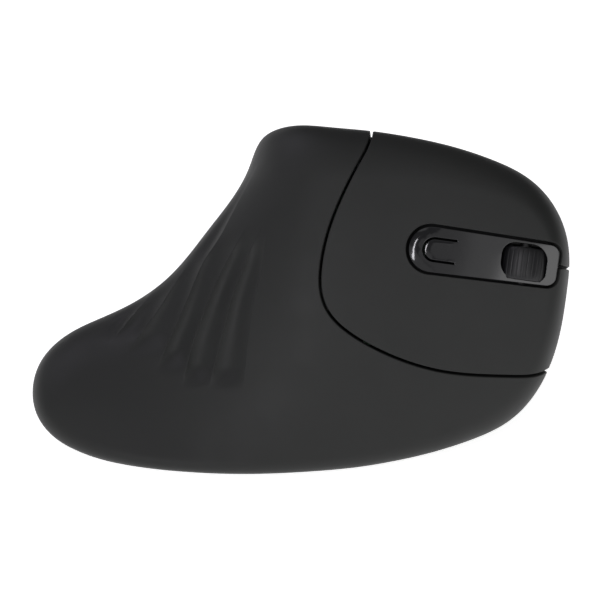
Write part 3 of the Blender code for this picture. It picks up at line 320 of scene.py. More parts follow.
def face_chart(points, sink=0.0):
    """World points of the visible sheet. Points on the outline take the full drop of its edge."""
    points = np.asarray(points, float)
    return to_world(points[:, 0], points[:, 1], face(points[:, 0], points[:, 1]) - rolled(points) - sink)


def outline_world(t):
    rows = outline(t)
    return to_world(rows[:, 0], rows[:, 1], face(rows[:, 0], rows[:, 1]) - rows[:, 3])


def hidden_at(t, w):
    """World points of the sheet that drops from the outline (w = 0) to the foot (w = 1)."""
    rows = outline(t)
    top = outline_world(t)
    foot = np.stack([rows[:, 4], rows[:, 5], np.full(len(rows), RIM_Z)], -1)
    w = np.asarray(w, float)[:, None]
    reach = norm(foot - top, axis=1)[:, None]
    drop = top[:, 2:3] - RIM_Z
    first = top - OUT_FACE * reach * FLANK_HANDLES[0]
    second = foot + np.array([0, 0, 1.0]) * drop * FLANK_HANDLES[1]
    plain = (1 - w) ** 3 * top + 3 * (1 - w) ** 2 * w * first + 3 * (1 - w) * w * w * second + w ** 3 * foot
    share = spline(np.linspace(0, 1, len(SCOOP)), SCOOP, w[:, 0])
    scoop = top + (foot - top) * share[:, :1]
    scoop[:, 2] = top[:, 2] - drop[:, 0] * share[:, 1]
    mix = np.clip(rows[:, 6:7], 0, 1)
    return plain * (1 - mix) + scoop * mix


HIDDEN_T = np.linspace(0, ROUND, 181)
LENGTH_PARTS = 24
DOWN = [hidden_at(HIDDEN_T, np.full(len(HIDDEN_T), k / LENGTH_PARTS)) for k in range(LENGTH_PARTS + 1)]
HIDDEN_LENGTH = sum(norm(low - high, axis=1) for high, low in zip(DOWN, DOWN[1:]))


def hidden_length(t):
    return np.interp(np.mod(t, ROUND), HIDDEN_T, HIDDEN_LENGTH)


def hidden_chart(points):
    """World points of the hidden sheet, from run t round the outline and distance q below it."""
    points = np.asarray(points, float)
    return hidden_at(points[:, 0], np.clip(points[:, 1] / hidden_length(points[:, 0]), 0, 1))


def chart_normals(chart, points):
    """Outward normals of a sheet, from small steps along its two chart directions."""
    step = 0.03
    first = chart(points + [step, 0]) - chart(points - [step, 0])
    second = chart(points + [0, step]) - chart(points - [0, step])
    return unit(np.cross(first, second))


def outline_normals(t):
    """Outward normals along the outline, where the skin runs straight away from the face."""
    step = 0.05
    return unit(np.cross(outline_world(t + step) - outline_world(t - step), -OUT_FACE))


# -------- loops on the skin

def nearest(points, others):
    """Distance from each point to the closest of the others."""
    return np.concatenate([norm(points[k:k + CHUNK, None] - others, axis=-1).min(1)
                           for k in range(0, len(points), CHUNK)])


def inside(points, loop):
    """Whether each point lies within a closed loop."""
    result = np.zeros(len(points), bool)
    a, b = loop, np.roll(loop, -1, axis=0)
    for first in range(0, len(points), CHUNK):
        px, py = (points[first:first + CHUNK, k][:, None] for k in (0, 1))
        spans = (a[:, 1] > py) != (b[:, 1] > py)
        cross = px < (b[:, 0] - a[:, 0]) * (py - a[:, 1]) / (b[:, 1] - a[:, 1] + 1e-12) + a[:, 0]
        result[first:first + CHUNK] = (spans & cross).sum(1) % 2 == 1
    return result


def resample(line, step, closed=False, graded=()):
    """Points along a line about step apart. Close to a graded end they crowd as the edge rings do."""
    line = np.asarray(line, float)
    if closed:
        line = np.vstack([line, line[:1]])
    run = np.concatenate([[0], np.cumsum(norm(np.diff(line, axis=0), axis=1))])
    at = np.linspace(0, run[-1], max(2, int(round(run[-1] / step)) + 1))
    if "first" in graded:
        at = np.concatenate([[0], RINGS, at[at > RINGS[-1] + step / 2]])
    if "last" in graded:
        at = np.concatenate([at[at < run[-1] - RINGS[-1] - step / 2],
                             run[-1] - np.array(RINGS[::-1]), run[-1:]])
    points = np.stack([np.interp(at, run, line[:, k]) for k in range(2)], -1)
    return points[:-1] if closed else points


def seam_line(offset):
    """The key seam moved sideways and cut at the outline, with the run t of its two ends."""
    knots = np.arange(len(KEY_SEAM))
    line = spline(knots, KEY_SEAM, np.linspace(0, knots[-1], SEAM_POINTS))
    along = unit(np.gradient(line, axis=0))
    line = line + np.stack([-along[:, 1], along[:, 0]], -1) * offset
    line = line[inside(line, EDGE[:, :2])]
    ends = [norm(EDGE[:, :2] - end, axis=1).argmin() * EDGE_STEP
            for end in (line[0], line[-1])]
    line[0], line[-1] = outline(np.array(ends))[:, :2]
    return line, ends


def rounded(corners, radii, step=0.25):
    """Closed loop through the corners, each cut by an arc of its own radius."""
    corners = np.asarray(corners, float)
    loop = []
    for k, corner in enumerate(corners):
        back = corners[k - 1] - corner
        ahead = corners[(k + 1) % len(corners)] - corner
        back, ahead = back / norm(back), ahead / norm(ahead)
        half = math.acos(np.clip(back @ ahead, -1, 1)) / 2
        middle = corner + (back + ahead) / norm(back + ahead) * radii[k] / math.sin(half)
        start = corner + back * radii[k] / math.tan(half) - middle
        turn = math.pi - 2 * half
        if back[0] * ahead[1] - back[1] * ahead[0] > 0:
            turn = -turn
        parts = max(2, int(abs(turn) * radii[k] / step) + 1)
        for a in np.linspace(0, turn, parts + 1):
            loop.append(middle + (start[0] * math.cos(a) - start[1] * math.sin(a),
                                  start[0] * math.sin(a) + start[1] * math.cos(a)))
    return np.array(loop)


def on_strip(along, across, middle=STRIP_REAR):
    return middle + STRIP_ALONG * along + STRIP_ACROSS * across


def strip_loop(grow):
    """Outline of the strip: round at the rear, a little lower at the front, with small corners there."""
    rear, low = STRIP_HALF[0] + grow, STRIP_HALF[1] + grow
    front = STRIP_LENGTH + (grow * STRIP_FRONT_GAP / STRIP_GAP if grow > 0 else grow)
    shift = 0.0 if grow > 0 else STRIP_SHIFT
    corners = [on_strip(x, y + shift)
               for x, y in ((-rear, -rear), (front, -low), (front, low), (-rear, rear))]
    small, large = STRIP_CORNER + grow, rear * STRIP_ROUND
    return rounded(corners, (large, small, small, large))


def window_loop(grow):
    a, b = WHEEL_WINDOW[0] / 2 + grow, WHEEL_WINDOW[1] / 2 + grow
    corners = [on_strip(x, y, WINDOW_MIDDLE) for x, y in ((-a, -b), (a, -b), (a, b), (-a, b))]
    return rounded(corners, [radius + grow for radius in WINDOW_CORNERS])


def tongue_line(reach):
    """U-shaped line round the rear of the small key, from its lower front end to its upper one."""
    arc = [on_strip(TONGUE_MIDDLE + reach * math.cos(a), reach * math.sin(a))
           for a in np.linspace(-math.pi / 2, -3 * math.pi / 2, TONGUE_ARC)]
    return np.array([on_strip(TONGUE_FRONT, -reach), *arc, on_strip(TONGUE_FRONT, reach)])


def split_line(offset):
    """Line between the two keys in front of the strip, from inside the strip to the outline."""
    start, reach, step = SPLIT_RUN
    line = on_strip(STRIP_LENGTH - start, offset) + np.outer(np.arange(0, reach, step), STRIP_ALONG)
    line = line[inside(line, EDGE[:, :2])]
    t = np.linspace(T_RIDGE, T_FRONT, SPLIT_SEARCH)
    end = t[norm(outline(t)[:, :2] - line[-1], axis=1).argmin()]
    line[-1] = outline(end)[:2]
    return line, float(end)


def run_at_x(x, first, last):
    """Run t at which the outline passes x, looked for between two runs."""
    t = np.linspace(first, last, X_SEARCH)
    return float(t[np.abs(outline(t)[:, 0] - x).argmin()])


def panel_loop(grow):
    """Edge of the thumb panel, as run t and distance q on the hidden sheet."""
    rear, front = T_PANEL[0] - grow, T_PANEL[1] + grow
    top, low = PANEL_TOP - grow, PANEL_LOW + grow
    cut = PANEL_CUT
    corners = [(rear, top), (front, top), (front - cut[0], low - cut[1]), (rear + cut[2], low)]
    return rounded(corners, [radius + grow for radius in PANEL_CORNERS], PANEL_STEP)


def side_key_loop(middle, grow):
    a, b = SIDE_KEY[0] / 2 + grow, SIDE_KEY[1] / 2 + grow
    corners = [(middle + x, SIDE_KEY_Q + y) for x, y in ((-a, -b), (a, -b), (a, b), (-a, b))]
    return rounded(corners, (SIDE_KEY_CORNER + grow,) * 4, SIDE_KEY_STEP)


RINGS = (0.06, 0.18, 0.38, 0.65, 1.0, 1.45, 2.0, 2.7, 3.6)  # rows of points inside the outline
SEAM_POINTS = 900
SPLIT_RUN = (2.0, 12, 0.02)  # where the split starts inside the strip's front end, reach and step
SPLIT_SEARCH, X_SEARCH = 4000, 2000
SEAM_KEYS, ENDS_KEYS = seam_line(SEAM / 2 + ROLL)
SEAM_BODY, ENDS_BODY = seam_line(-SEAM / 2 - ROLL)
T_RIDGE, T_FRONT = ENDS_BODY
T_KEY_RIDGE, T_KEY_FRONT = ENDS_KEYS
SPLIT_LEFT, T_SPLIT_LEFT = split_line(SPLIT / 2 + ROLL)
SPLIT_RIGHT, T_SPLIT_RIGHT = split_line(-SPLIT / 2 - ROLL)
CAD_RIDGE, CAD_FRONT = seam_line(-SEAM / 2)[1]
PANEL_X = (-4.0, 47.0)  # rear and front edge of the thumb panel, at its top
T_PANEL = (run_at_x(PANEL_X[0], 60, CAD_RIDGE + 5), run_at_x(PANEL_X[1], CAD_RIDGE, CAD_FRONT - 20))
PANEL_TOP, PANEL_LOW = 9.0, 60.0
PANEL_CUT = (4.0, 9.0, 9.0)  # lower front corner back and up, lower rear corner forwards
PANEL_CORNERS = (5.0, 5.0, 7.0, 9.0)  # radius at the top rear, top front, lower front and lower rear
PANEL_STEP = 0.7
SIDE_KEY = (15.0, 6.0)
SIDE_KEY_Q = 15.5
SIDE_KEY_CORNER, SIDE_KEY_STEP = 2.4, 0.4
SIDE_KEYS = {"back_button": T_PANEL[0] + 17.0, "forward_button": T_PANEL[0] + 33.5}


def marks(first, last, step, extra=()):
    """Evenly spaced numbers from first to last, with the extra ones put in."""
    even = np.linspace(first, last, max(2, int(round((last - first) / step)) + 1))
    near = [m for m in extra if first < m < last]
    even = [m for m in even if all(abs(m - n) > step * 0.3 for n in near)]
    return np.array(sorted(even + near))


SPECIAL_T = sorted([*ENDS_BODY, *ENDS_KEYS, T_SPLIT_LEFT, T_SPLIT_RIGHT])
EDGE_PITCH = 0.8
EDGE_T = marks(0, ROUND, EDGE_PITCH, SPECIAL_T)[:-1]


# -------- finger flutes

def crest_x(k, s):
    """Where a crest passes at height s. It runs on straight past its ends."""
    line = np.array(CRESTS[k])[::-1]
    x = spline(line[:, 1], line[:, :1], np.clip(s, line[0, 1], line[-1, 1]))[:, 0]
    for end, near in ((0, 1), (-1, -2)):
        slope = (line[end, 0] - line[near, 0]) / (line[end, 1] - line[near, 1])
        beyond = s < line[0, 1] if end == 0 else s > line[-1, 1]
        x = np.where(beyond, line[end, 0] + slope * (s - line[end, 1]), x)
    return x


def flute_depth(points, near):
    """Depth of the finger flutes at x, s points, which lie the given distance from the outline."""
    x, s = points[:, 0], points[:, 1]
    depth = np.zeros(len(points))
    for left, right, low, high, deep in FLUTES:
        end = crest_x(right, s)
        start = end - OPEN_WIDTH if left is None else crest_x(left, s)
        share = np.clip((x - start) / np.maximum(end - start, NARROWEST), 0, 1)
        scoop = 4 * share * (1 - share) if left is not None else share * share * (1 - share) * OPEN_PEAK
        fade = ease((s - low) / FLUTE_FADE[0]) * ease((high - s) / FLUTE_FADE[1])
        if left is not None:
            fade = fade * ease((end - start - NARROW_FLUTE[0]) / NARROW_FLUTE[1])
        depth = np.maximum(depth, deep * scoop * fade)
    return depth * ease((near - FLUTE_EDGE[0]) / FLUTE_EDGE[1])


# -------- fine nets over both sheets

def triangulate(fixed, chains, free, clearance):
    """Triangles over fixed points, chains kept as edges, and free points that stay clear of the chains."""
    points = [tuple(p) for p in fixed]
    edges = [(k, (k + 1) % len(points)) for k in range(len(points))]
    for chain, closed in chains:
        first = len(points)
        points += [tuple(p) for p in chain]
        last = len(points) - 1
        edges += [(k, k + 1) for k in range(first, last)]
        if closed:
            edges.append((last, first))
    away = nearest(free, np.vstack([chain for chain, _ in chains]))
    points += [tuple(p) for p in free[away > clearance]]
    verts, _, faces, sources, _, _ = delaunay_2d_cdt([Vector(p) for p in points], edges, [], 0, MERGE)
    from_fixed = [min((k for k in source if k < len(fixed)), default=-1) for source in sources]
    return np.array([tuple(v) for v in verts]), np.array([tuple(f) for f in faces]), np.array(from_fixed)


MERGE = 1e-4
CLEAR, HIDDEN_CLEAR = 0.1, 0.16  # free points stay this far from the chains
LINE_PITCH = 0.6  # pitches along the seams and splits, and round the slot, the strip and its small parts
SLOT_PITCH, STRIP_PITCH, TONGUE_PITCH = 0.4, 0.3, 0.25
CUT_END = -26  # the cut behind the strip runs on to here
FLUTE_RIM = 1.2  # closer to the outline than this, its rows run through the flutes
CREST_PITCH = 0.3
CREST_RIM, FLANK_RIM = 0.5, 0.7  # the crests and the rows beside them stop here
COARSE, FINE = 1.1, 0.5  # pitch of the points on the plain face and in the flutes


def hexagons(low, high, step):
    """Points of a honeycomb over a rectangle."""
    rows = enumerate(np.arange(low[1], high[1], step * 0.87))
    return np.array([(x + step / 2 * (k % 2), y) for k, y in rows for x in np.arange(low[0], high[0], step)])


def visible_net():
    """Every boundary of the visible sheet in one triangle net."""
    edge = outline(EDGE_T)[:, :2]
    both = ("first", "last")
    cut = np.array([on_strip(along, 0.0) for along in np.arange(-STRIP_HALF[0] - 0.2, CUT_END, -0.25)])
    front = [on_strip(TONGUE_FRONT, side * TONGUE_SLOT) for side in (-1, 1)]
    lines = ((SEAM_KEYS, both), (SEAM_BODY, both), (SPLIT_LEFT, both[1:]), (SPLIT_RIGHT, both[1:]))
    chains = [(resample(line, LINE_PITCH, graded=ends), False) for line, ends in lines]
    loops = ((strip_loop(STRIP_GAP + FINE_ROLL), SLOT_PITCH), (strip_loop(-STRIP_ROLL), STRIP_PITCH),
             (window_loop(FINE_ROLL), STRIP_PITCH))
    chains += [(resample(loop, step, True), True) for loop, step in loops]
    chains += [(resample(line, TONGUE_PITCH), False)
               for line in (tongue_line(TONGUE - TONGUE_ROLL), tongue_line(TONGUE_SLOT), front)]
    chains.append((cut, False))
    crests, flanks = [], []
    for k in range(len(CRESTS)):
        s = np.arange(min(row[2] for row in FLUTES if k in row[:2]), CREST_TOPS[k], CREST_PITCH)
        line = np.stack([crest_x(k, s), s], -1)
        line = line[inside(line, EDGE[:, :2]) & (edge_distances(line) > CREST_RIM)]
        across = unit(np.gradient(line, axis=0) @ np.array([[0, 1], [-1, 0]]))
        flanks += [line + across * side * away for away in CREST_FLANKS for side in (-1, 1)]
        chains.append((line, False))
        crests.append(line)
    crests = np.vstack(crests)
    along = unit(outline(EDGE_T + 0.05)[:, :2] - outline(EDGE_T - 0.05)[:, :2])
    inward = np.stack([along[:, 1], -along[:, 0]], -1)
    rings, deeper = (np.vstack([edge + inward * ring for ring in RINGS if (ring < FLUTE_RIM) == outer])
                     for outer in (True, False))
    grid, fluted = hexagons((-60, 0), (60, 77), COARSE), hexagons((-42, 18), (-4, 70), FINE)
    grid, fluted = grid[inside(grid, EDGE[:, :2])], fluted[inside(fluted, EDGE[:, :2])]
    fluted = fluted[in_flutes(fluted) & (edge_distances(fluted) > FLUTE_RIM + 0.1)]
    grid = grid[~in_flutes(grid) & (edge_distances(grid) > RINGS[-1] + 0.3)]
    free = np.vstack([rings, deeper[~in_flutes(deeper)], grid, fluted])
    beside = np.vstack(flanks)
    free = np.vstack([free[nearest(free, crests) > CREST_FLANKS[-1] + FINE / 2],
                      beside[edge_distances(beside) > FLANK_RIM]])
    return triangulate(edge, chains, free, CLEAR)


def in_flutes(points):
    return flute_depth(points, np.full(len(points), np.inf)) > 0.01


def edge_distances(points):
    return np.concatenate([edge_distance(points[k:k + CHUNK]) for k in range(0, len(points), CHUNK)])


GRIP_PITCH, GRIP_DEPTH, GRIP_SLANT = 3.4, 0.3, 0.35
GRIP_Q = (24.0, 52.0)  # the grooves keep to this part of the panel's height
GRIP_T = (T_PANEL[0] + 6.0, T_PANEL[1] - 7.0)
GRIP_FADE = 5.0
HIDDEN_ROWS, HIDDEN_POWER = 44, 1.3  # rows of points from the outline down, and how they crowd there
CUT_DEPTH, CUT_PITCH = 6.0, 0.45  # the ends of the seams and splits run down this far
GROOVE_PITCH = 0.55


def grip_depth(points):
    """Shallow slanting grooves over the thumb panel, clear of its keys."""
    t, q = points[:, 0], points[:, 1]
    wave = 0.5 - 0.5 * np.cos(2 * math.pi * (q + GRIP_SLANT * (t - T_PANEL[0])) / GRIP_PITCH)
    inward = (q - GRIP_Q[0], GRIP_Q[1] - q, t - GRIP_T[0], GRIP_T[1] - t)
    return GRIP_DEPTH * wave * math.prod(ease(away / GRIP_FADE) for away in inward)


def in_grip(points):
    t, q = points[:, 0], points[:, 1]
    return (q > GRIP_Q[0]) & (q < GRIP_Q[1]) & (t > GRIP_T[0]) & (t < GRIP_T[1])


def hidden_net():
    """The hidden sheet from the outline to the foot, cut below the keys and round the thumb panel."""
    runs = np.append(EDGE_T, ROUND)
    top = np.stack([runs, np.zeros(len(runs))], -1)
    low = np.stack([runs, hidden_length(runs)], -1)[::-1]
    cut = np.arange(CUT_PITCH, CUT_DEPTH, CUT_PITCH)
    chains = [(np.array([(t, q) for q in cut]), False) for t in SPECIAL_T]
    for q, first, last in ((KEY_LIP - ROLL, T_KEY_RIDGE, T_KEY_FRONT),
                           (KEY_LIP + LIP_GAP + ROLL, T_RIDGE, T_FRONT)):
        t = marks(first, last, EDGE_PITCH, SPECIAL_T)
        chains.append((np.stack([t, np.full(len(t), q)], -1), False))
    loops = [(panel_loop(PANEL_GAP + ROLL), 0.7), (panel_loop(-ROLL), 0.7)]
    for middle in SIDE_KEYS.values():
        loops += [(side_key_loop(middle, PANEL_GAP + ROLL), 0.5), (side_key_loop(middle, -FINE_ROLL), 0.4)]
    chains += [(resample(loop, step, True), True) for loop, step in loops]
    free = np.vstack([np.stack([runs, hidden_length(runs) * (k / HIDDEN_ROWS) ** HIDDEN_POWER], -1)
                      for k in range(1, HIDDEN_ROWS)])
    grooved = hexagons((T_PANEL[0], GRIP_Q[0]), (T_PANEL[1], GRIP_Q[1]), GROOVE_PITCH)
    grooved = grooved[in_grip(grooved) & inside(grooved, panel_loop(-ROLL - 0.3))]
    free = np.vstack([free[~in_grip(free)], grooved])
    return triangulate(np.vstack([top, low]), chains, free, HIDDEN_CLEAR)


VISIBLE, VISIBLE_FACES, VISIBLE_FIXED = visible_net()
HIDDEN, HIDDEN_FACES, _ = hidden_net()


def key_side(seam, ends, points):
    """Whether points lie on the front side of a key seam."""
    runs = np.linspace(ends[0], ends[1], SEAM_POINTS)
    return inside(points, np.vstack([seam[::-1], outline(runs)[1:-1, :2]]))


def visible_sides():
    """Mask over the visible triangles for each piece."""
    at = VISIBLE[VISIBLE_FACES].mean(1)
    along = (at - STRIP_REAR) @ STRIP_ALONG
    across = (at - STRIP_REAR) @ STRIP_ACROSS
    whole = inside(at, outline(EDGE_T)[:, :2])
    keys = key_side(SEAM_KEYS, ENDS_KEYS, at) & ~inside(at, strip_loop(STRIP_GAP + FINE_ROLL)) & whole
    keys &= ~((along > STRIP_LENGTH) & (np.abs(across) < SPLIT / 2 + ROLL))
    tongue = inside(at, tongue_line(TONGUE - TONGUE_ROLL))
    strip = inside(at, strip_loop(-STRIP_ROLL)) & ~inside(at, window_loop(FINE_ROLL))
    strip &= ~inside(at, tongue_line(TONGUE_SLOT)) | (along > TONGUE_FRONT)
    # near-black ledge below the gap round the strip, which paints the shade of the deep gap
    under, within, window = GAP_SHADE_LEDGE
    shade_ledge = inside(at, strip_loop(STRIP_GAP + under)) & ~inside(at, strip_loop(-within))
    return {"body_skin": whole & ~key_side(SEAM_BODY, ENDS_BODY, at), "upper_key_skin": keys & (across > 0),
            "lower_key_skin": keys & (across < 0), "strip_skin": strip, "tongue_skin": tongue,
            "strip_gap_shade_ledge": shade_ledge & ~inside(at, window_loop(window))}


def hidden_sides():
    """Mask over the hidden triangles for each piece."""
    at = HIDDEN[HIDDEN_FACES].mean(1)
    t, q = at[:, 0], at[:, 1]
    whole = (q > 0) & (q < hidden_length(t)) & (t > 0) & (t < ROUND)
    keys = whole & (q < KEY_LIP - ROLL) & (t > T_KEY_RIDGE) & (t < T_KEY_FRONT)
    open_rim = (q < KEY_LIP + LIP_GAP + ROLL) & (t > T_RIDGE) & (t < T_FRONT)
    sides = {"body_skin": whole & ~open_rim & ~inside(at, panel_loop(PANEL_GAP + ROLL)),
             "upper_key_skin": keys & (t < T_SPLIT_LEFT), "lower_key_skin": keys & (t > T_SPLIT_RIGHT)}
    panel = inside(at, panel_loop(-ROLL))
    for name, middle in SIDE_KEYS.items():
        panel &= ~inside(at, side_key_loop(middle, PANEL_GAP + ROLL))
        sides[name + "_skin"] = inside(at, side_key_loop(middle, -FINE_ROLL))
    sides["panel_skin"] = panel
    return sides


def fluted_chart(points):
    return face_chart(points, flute_depth(points, edge_distances(points)))


def grip_chart(points):
    base = hidden_chart(points)
    return base - chart_normals(hidden_chart, points) * grip_depth(points)[:, None]


VISIBLE_SIDES, HIDDEN_SIDES = visible_sides(), hidden_sides()
ON_EDGE = VISIBLE_FIXED >= 0
EDGE_RUN = EDGE_T[VISIBLE_FIXED[ON_EDGE]]
VISIBLE_NORMALS = chart_normals(fluted_chart, VISIBLE)
VISIBLE_NORMALS[ON_EDGE] = outline_normals(EDGE_RUN)
VISIBLE_WORLD = fluted_chart(VISIBLE)
VISIBLE_WORLD[ON_EDGE] = outline_world(EDGE_RUN)
HIDDEN_NORMALS = chart_normals(hidden_chart, HIDDEN)
TOP_ROW = HIDDEN[:, 1] < 0.001
HIDDEN_NORMALS[TOP_ROW] = outline_normals(HIDDEN[TOP_ROW, 0])
HIDDEN_WORLD = hidden_chart(HIDDEN)


# -------- pieces of the skin

def to_mesh(name, bm, normals=None):
    """Mesh in metres from a mesh in millimetres, shaded smooth by the normals that are given."""
    mesh = bpy.data.meshes.new(name)
    bmesh.ops.transform(bm, matrix=Matrix.Scale(MM, 4) @ Matrix.Translation(-Vector(CENTRE)), verts=bm.verts)
    for polygon in bm.faces:
        polygon.smooth = True
    bm.normal_update()
    bm.to_mesh(mesh)
    bm.free()
    if normals is not None:
        mesh.normals_split_custom_set_from_vertices(normals)
    obj = bpy.data.objects.new(name, mesh)
    bpy.context.scene.collection.objects.link(obj)
    return obj


def boundary_steps(bm, layer, plain_edge):
    """Outward step at each boundary vertex, and the boundary edges with the side that is plain."""
    rims, around = [], {}
    for edge in bm.edges:
        if not edge.is_boundary:
            continue
        loop = edge.link_loops[0]
        a, b = loop.vert, edge.other_vert(loop.vert)
        plain = plain_edge(a.co, b.co)
        rims.append((a, b, plain))
        if not plain:
            along = (b.co - a.co).normalized()
            for vert in (a, b):
                around.setdefault(vert, []).append(along.cross(vert[layer]).normalized())
    steps = {}
    for vert, sides in around.items():
        middle = sum(sides, Vector((0, 0, 0))).normalized()
        steps[vert] = middle * min(1.5, 1 / max(0.3, middle @ sides[0]))
    for a, b, plain in rims:
        for vert, other in ((a, b), (b, a)) if plain else ():
            away = vert.co - other.co
            away = (away - vert[layer] * (away @ vert[layer])).normalized()
            if vert in steps and away @ steps[vert] > 0.7:
                steps[vert] = away
    return steps, rims


def strip_chart(points):
    """The strip's surface: sunk a little, falling softly round its rear end and nearly flat at its front."""
    away = nearest(points, resample(strip_loop(0.0), 0.1, True))
    deep, width, power = PILLOW
    beyond = (points - STRIP_REAR) @ STRIP_ALONG
    rear = ease((PILLOW_END[0] - beyond) / PILLOW_END[1])
    bent = face_chart(points, STRIP_SINK + deep * rear * np.clip(1 - away / width, 0, 1) ** power)
    ahead = np.maximum(beyond - FLAT_FROM, 0)[:, None]
    foot = points - ahead * STRIP_ALONG
    flat, step = face_chart(foot, STRIP_SINK), 0.2
    flat = flat + (flat - face_chart(foot - step * STRIP_ALONG, STRIP_SINK)) / step * ahead
    share = FLAT_SHARE * (ahead > 0)
    return bent * (1 - share) + flat * share


def tongue_chart(points):
    """The small key's surface: level with the strip, and crowned a little."""
    away = nearest(points, resample(tongue_line(TONGUE), 0.1))
    deep, width = TONGUE_CROWN
    front = (TONGUE_FRONT - (points - STRIP_REAR) @ STRIP_ALONG) / TONGUE_FADE
    fall = deep * ease(front) * np.clip(1 - away / width, 0, 1) ** 2
    return face_chart(points, STRIP_SINK + fall)


ROLL_TURNS = (22.5, 45.0, 67.5, 90.0)
WELD = 0.005  # joins the two sheets along the outline


def skin(name, material, replaced, radius=ROLL, depth=WALL, chart=None, plain_edge=lambda a, b: False,
         other_edge=lambda point: False, other_radius=0.0):
    """One piece of the skin: its outer face, rounded edges, side walls and inner face."""
    bm = bmesh.new()
    layer = bm.verts.layers.float_vector.new("outward")
    sheets = []
    if name in VISIBLE_SIDES:
        sheets.append((VISIBLE_WORLD, VISIBLE_NORMALS, VISIBLE_FACES[VISIBLE_SIDES[name]]))
    if name in HIDDEN_SIDES:
        sheets.append((HIDDEN_WORLD, HIDDEN_NORMALS, HIDDEN_FACES[HIDDEN_SIDES[name]]))
    if chart:
        net = VISIBLE if name in VISIBLE_SIDES else HIDDEN
        faces = sheets[0][2]
        used = np.unique(faces)
        world, normals = np.zeros((len(net), 3)), np.zeros((len(net), 3))
        world[used], normals[used] = chart(net[used]), chart_normals(chart, net[used])
        sheets = [(world, normals, faces)]
    for points, normals, faces in sheets:
        used = {k: bm.verts.new(points[k]) for k in np.unique(faces)}
        for k, vert in used.items():
            vert[layer] = normals[k]
        for corner in faces:
            bm.faces.new([used[k] for k in corner])
    bmesh.ops.remove_doubles(bm, verts=bm.verts, dist=WELD)
    outer = list(bm.faces)
    steps, rims = boundary_steps(bm, layer, plain_edge)

    def grow(position, outward):
        vert = bm.verts.new(position)
        vert[layer] = outward
        return vert

    columns, below = {}, {}
    for vert in list(bm.verts):
        out = vert[layer].copy()
        below[vert] = grow(vert.co - out * depth, -out)
        if vert in steps:
            step = steps[vert]
            column = [vert]
            roll = other_radius if other_edge(vert.co) else radius
            for turn in ROLL_TURNS:
                a = math.radians(turn)
                column.append(grow(vert.co + step * roll * math.sin(a) - out * roll * (1 - math.cos(a)),
                                   (out * math.cos(a) + step.normalized() * math.sin(a)).normalized()))
            column.append(grow(vert.co + step * roll - out * depth, step.normalized()))
            columns[vert] = column + [below[vert]]
    for polygon in outer:
        bm.faces.new([below[vert] for vert in reversed(polygon.verts)])
    for a, b, plain in rims:
        if plain:
            bm.faces.new([b, a, below[a], below[b]])
            continue
        for k in range(len(columns[a]) - 1):
            bm.faces.new([columns[b][k], columns[a][k], columns[a][k + 1], columns[b][k + 1]])
    bm.verts.index_update()
    normals = [tuple(vert[layer]) for vert in bm.verts]
    obj = to_mesh(name, bm, normals)
    obj.data.materials.append(material)
    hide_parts(*replaced)
    return obj


def face_place(point):
    """x along the strip and across it, of a world point."""
    offset = np.array([point[0], point[1] * SIN + point[2] * COS]) - STRIP_REAR
    return offset @ STRIP_ALONG, offset @ STRIP_ACROSS


def on_strip_rim(point):
    """Whether a boundary point belongs to the strip's outer edge, and not to the window or the slot in it."""
    along, across = face_place(point)
    if along < 0:
        return math.hypot(along, across) > STRIP_HALF[0] - 2 * STRIP_ROLL
    return abs(across) > STRIP_HALF[1] - 0.1 or along > STRIP_LENGTH - 0.5


def on_slot(point):
    """Whether a boundary point of a key belongs to the opening round the strip."""
    along, across = face_place(point)
    if along < 0:
        return math.hypot(along, across) < STRIP_HALF[0] + 2 * STRIP_GAP
    return abs(across) < STRIP_HALF[0] + 2 * STRIP_GAP and along < STRIP_LENGTH + 2 * STRIP_FRONT_GAP


def on_key_cut(a, b):
    """Whether an edge lies on the line behind the strip where the two halves of the key plate meet."""
    end = -STRIP_HALF[0] - STRIP_GAP - FINE_ROLL + 0.05
    return all(abs(across) < 0.01 and along < end for along, across in map(face_place, (a, b)))


def on_tongue_front(a, b):
    """Whether an edge lies on the line where the small key bends out of the strip."""
    return all(abs(along - TONGUE_FRONT) < 0.01 and abs(across) < TONGUE - TONGUE_ROLL + 0.01
               for along, across in map(face_place, (a, b)))


# -------- materials

CLOUDS = 140.0  # scale of the broad unevenness, for every material
CLOUD_RANGE = (0.3, 0.7)  # what that noise spans
GLOSS_SPREAD = 0.07  # how far it moves the roughness either way


def set_inputs(node, **values):
    """Give a node's sockets their values. An underscore in a keyword stands for a space."""
    for socket, value in values.items():
        node.inputs[socket.replace("_", " ")].default_value = value
    return node


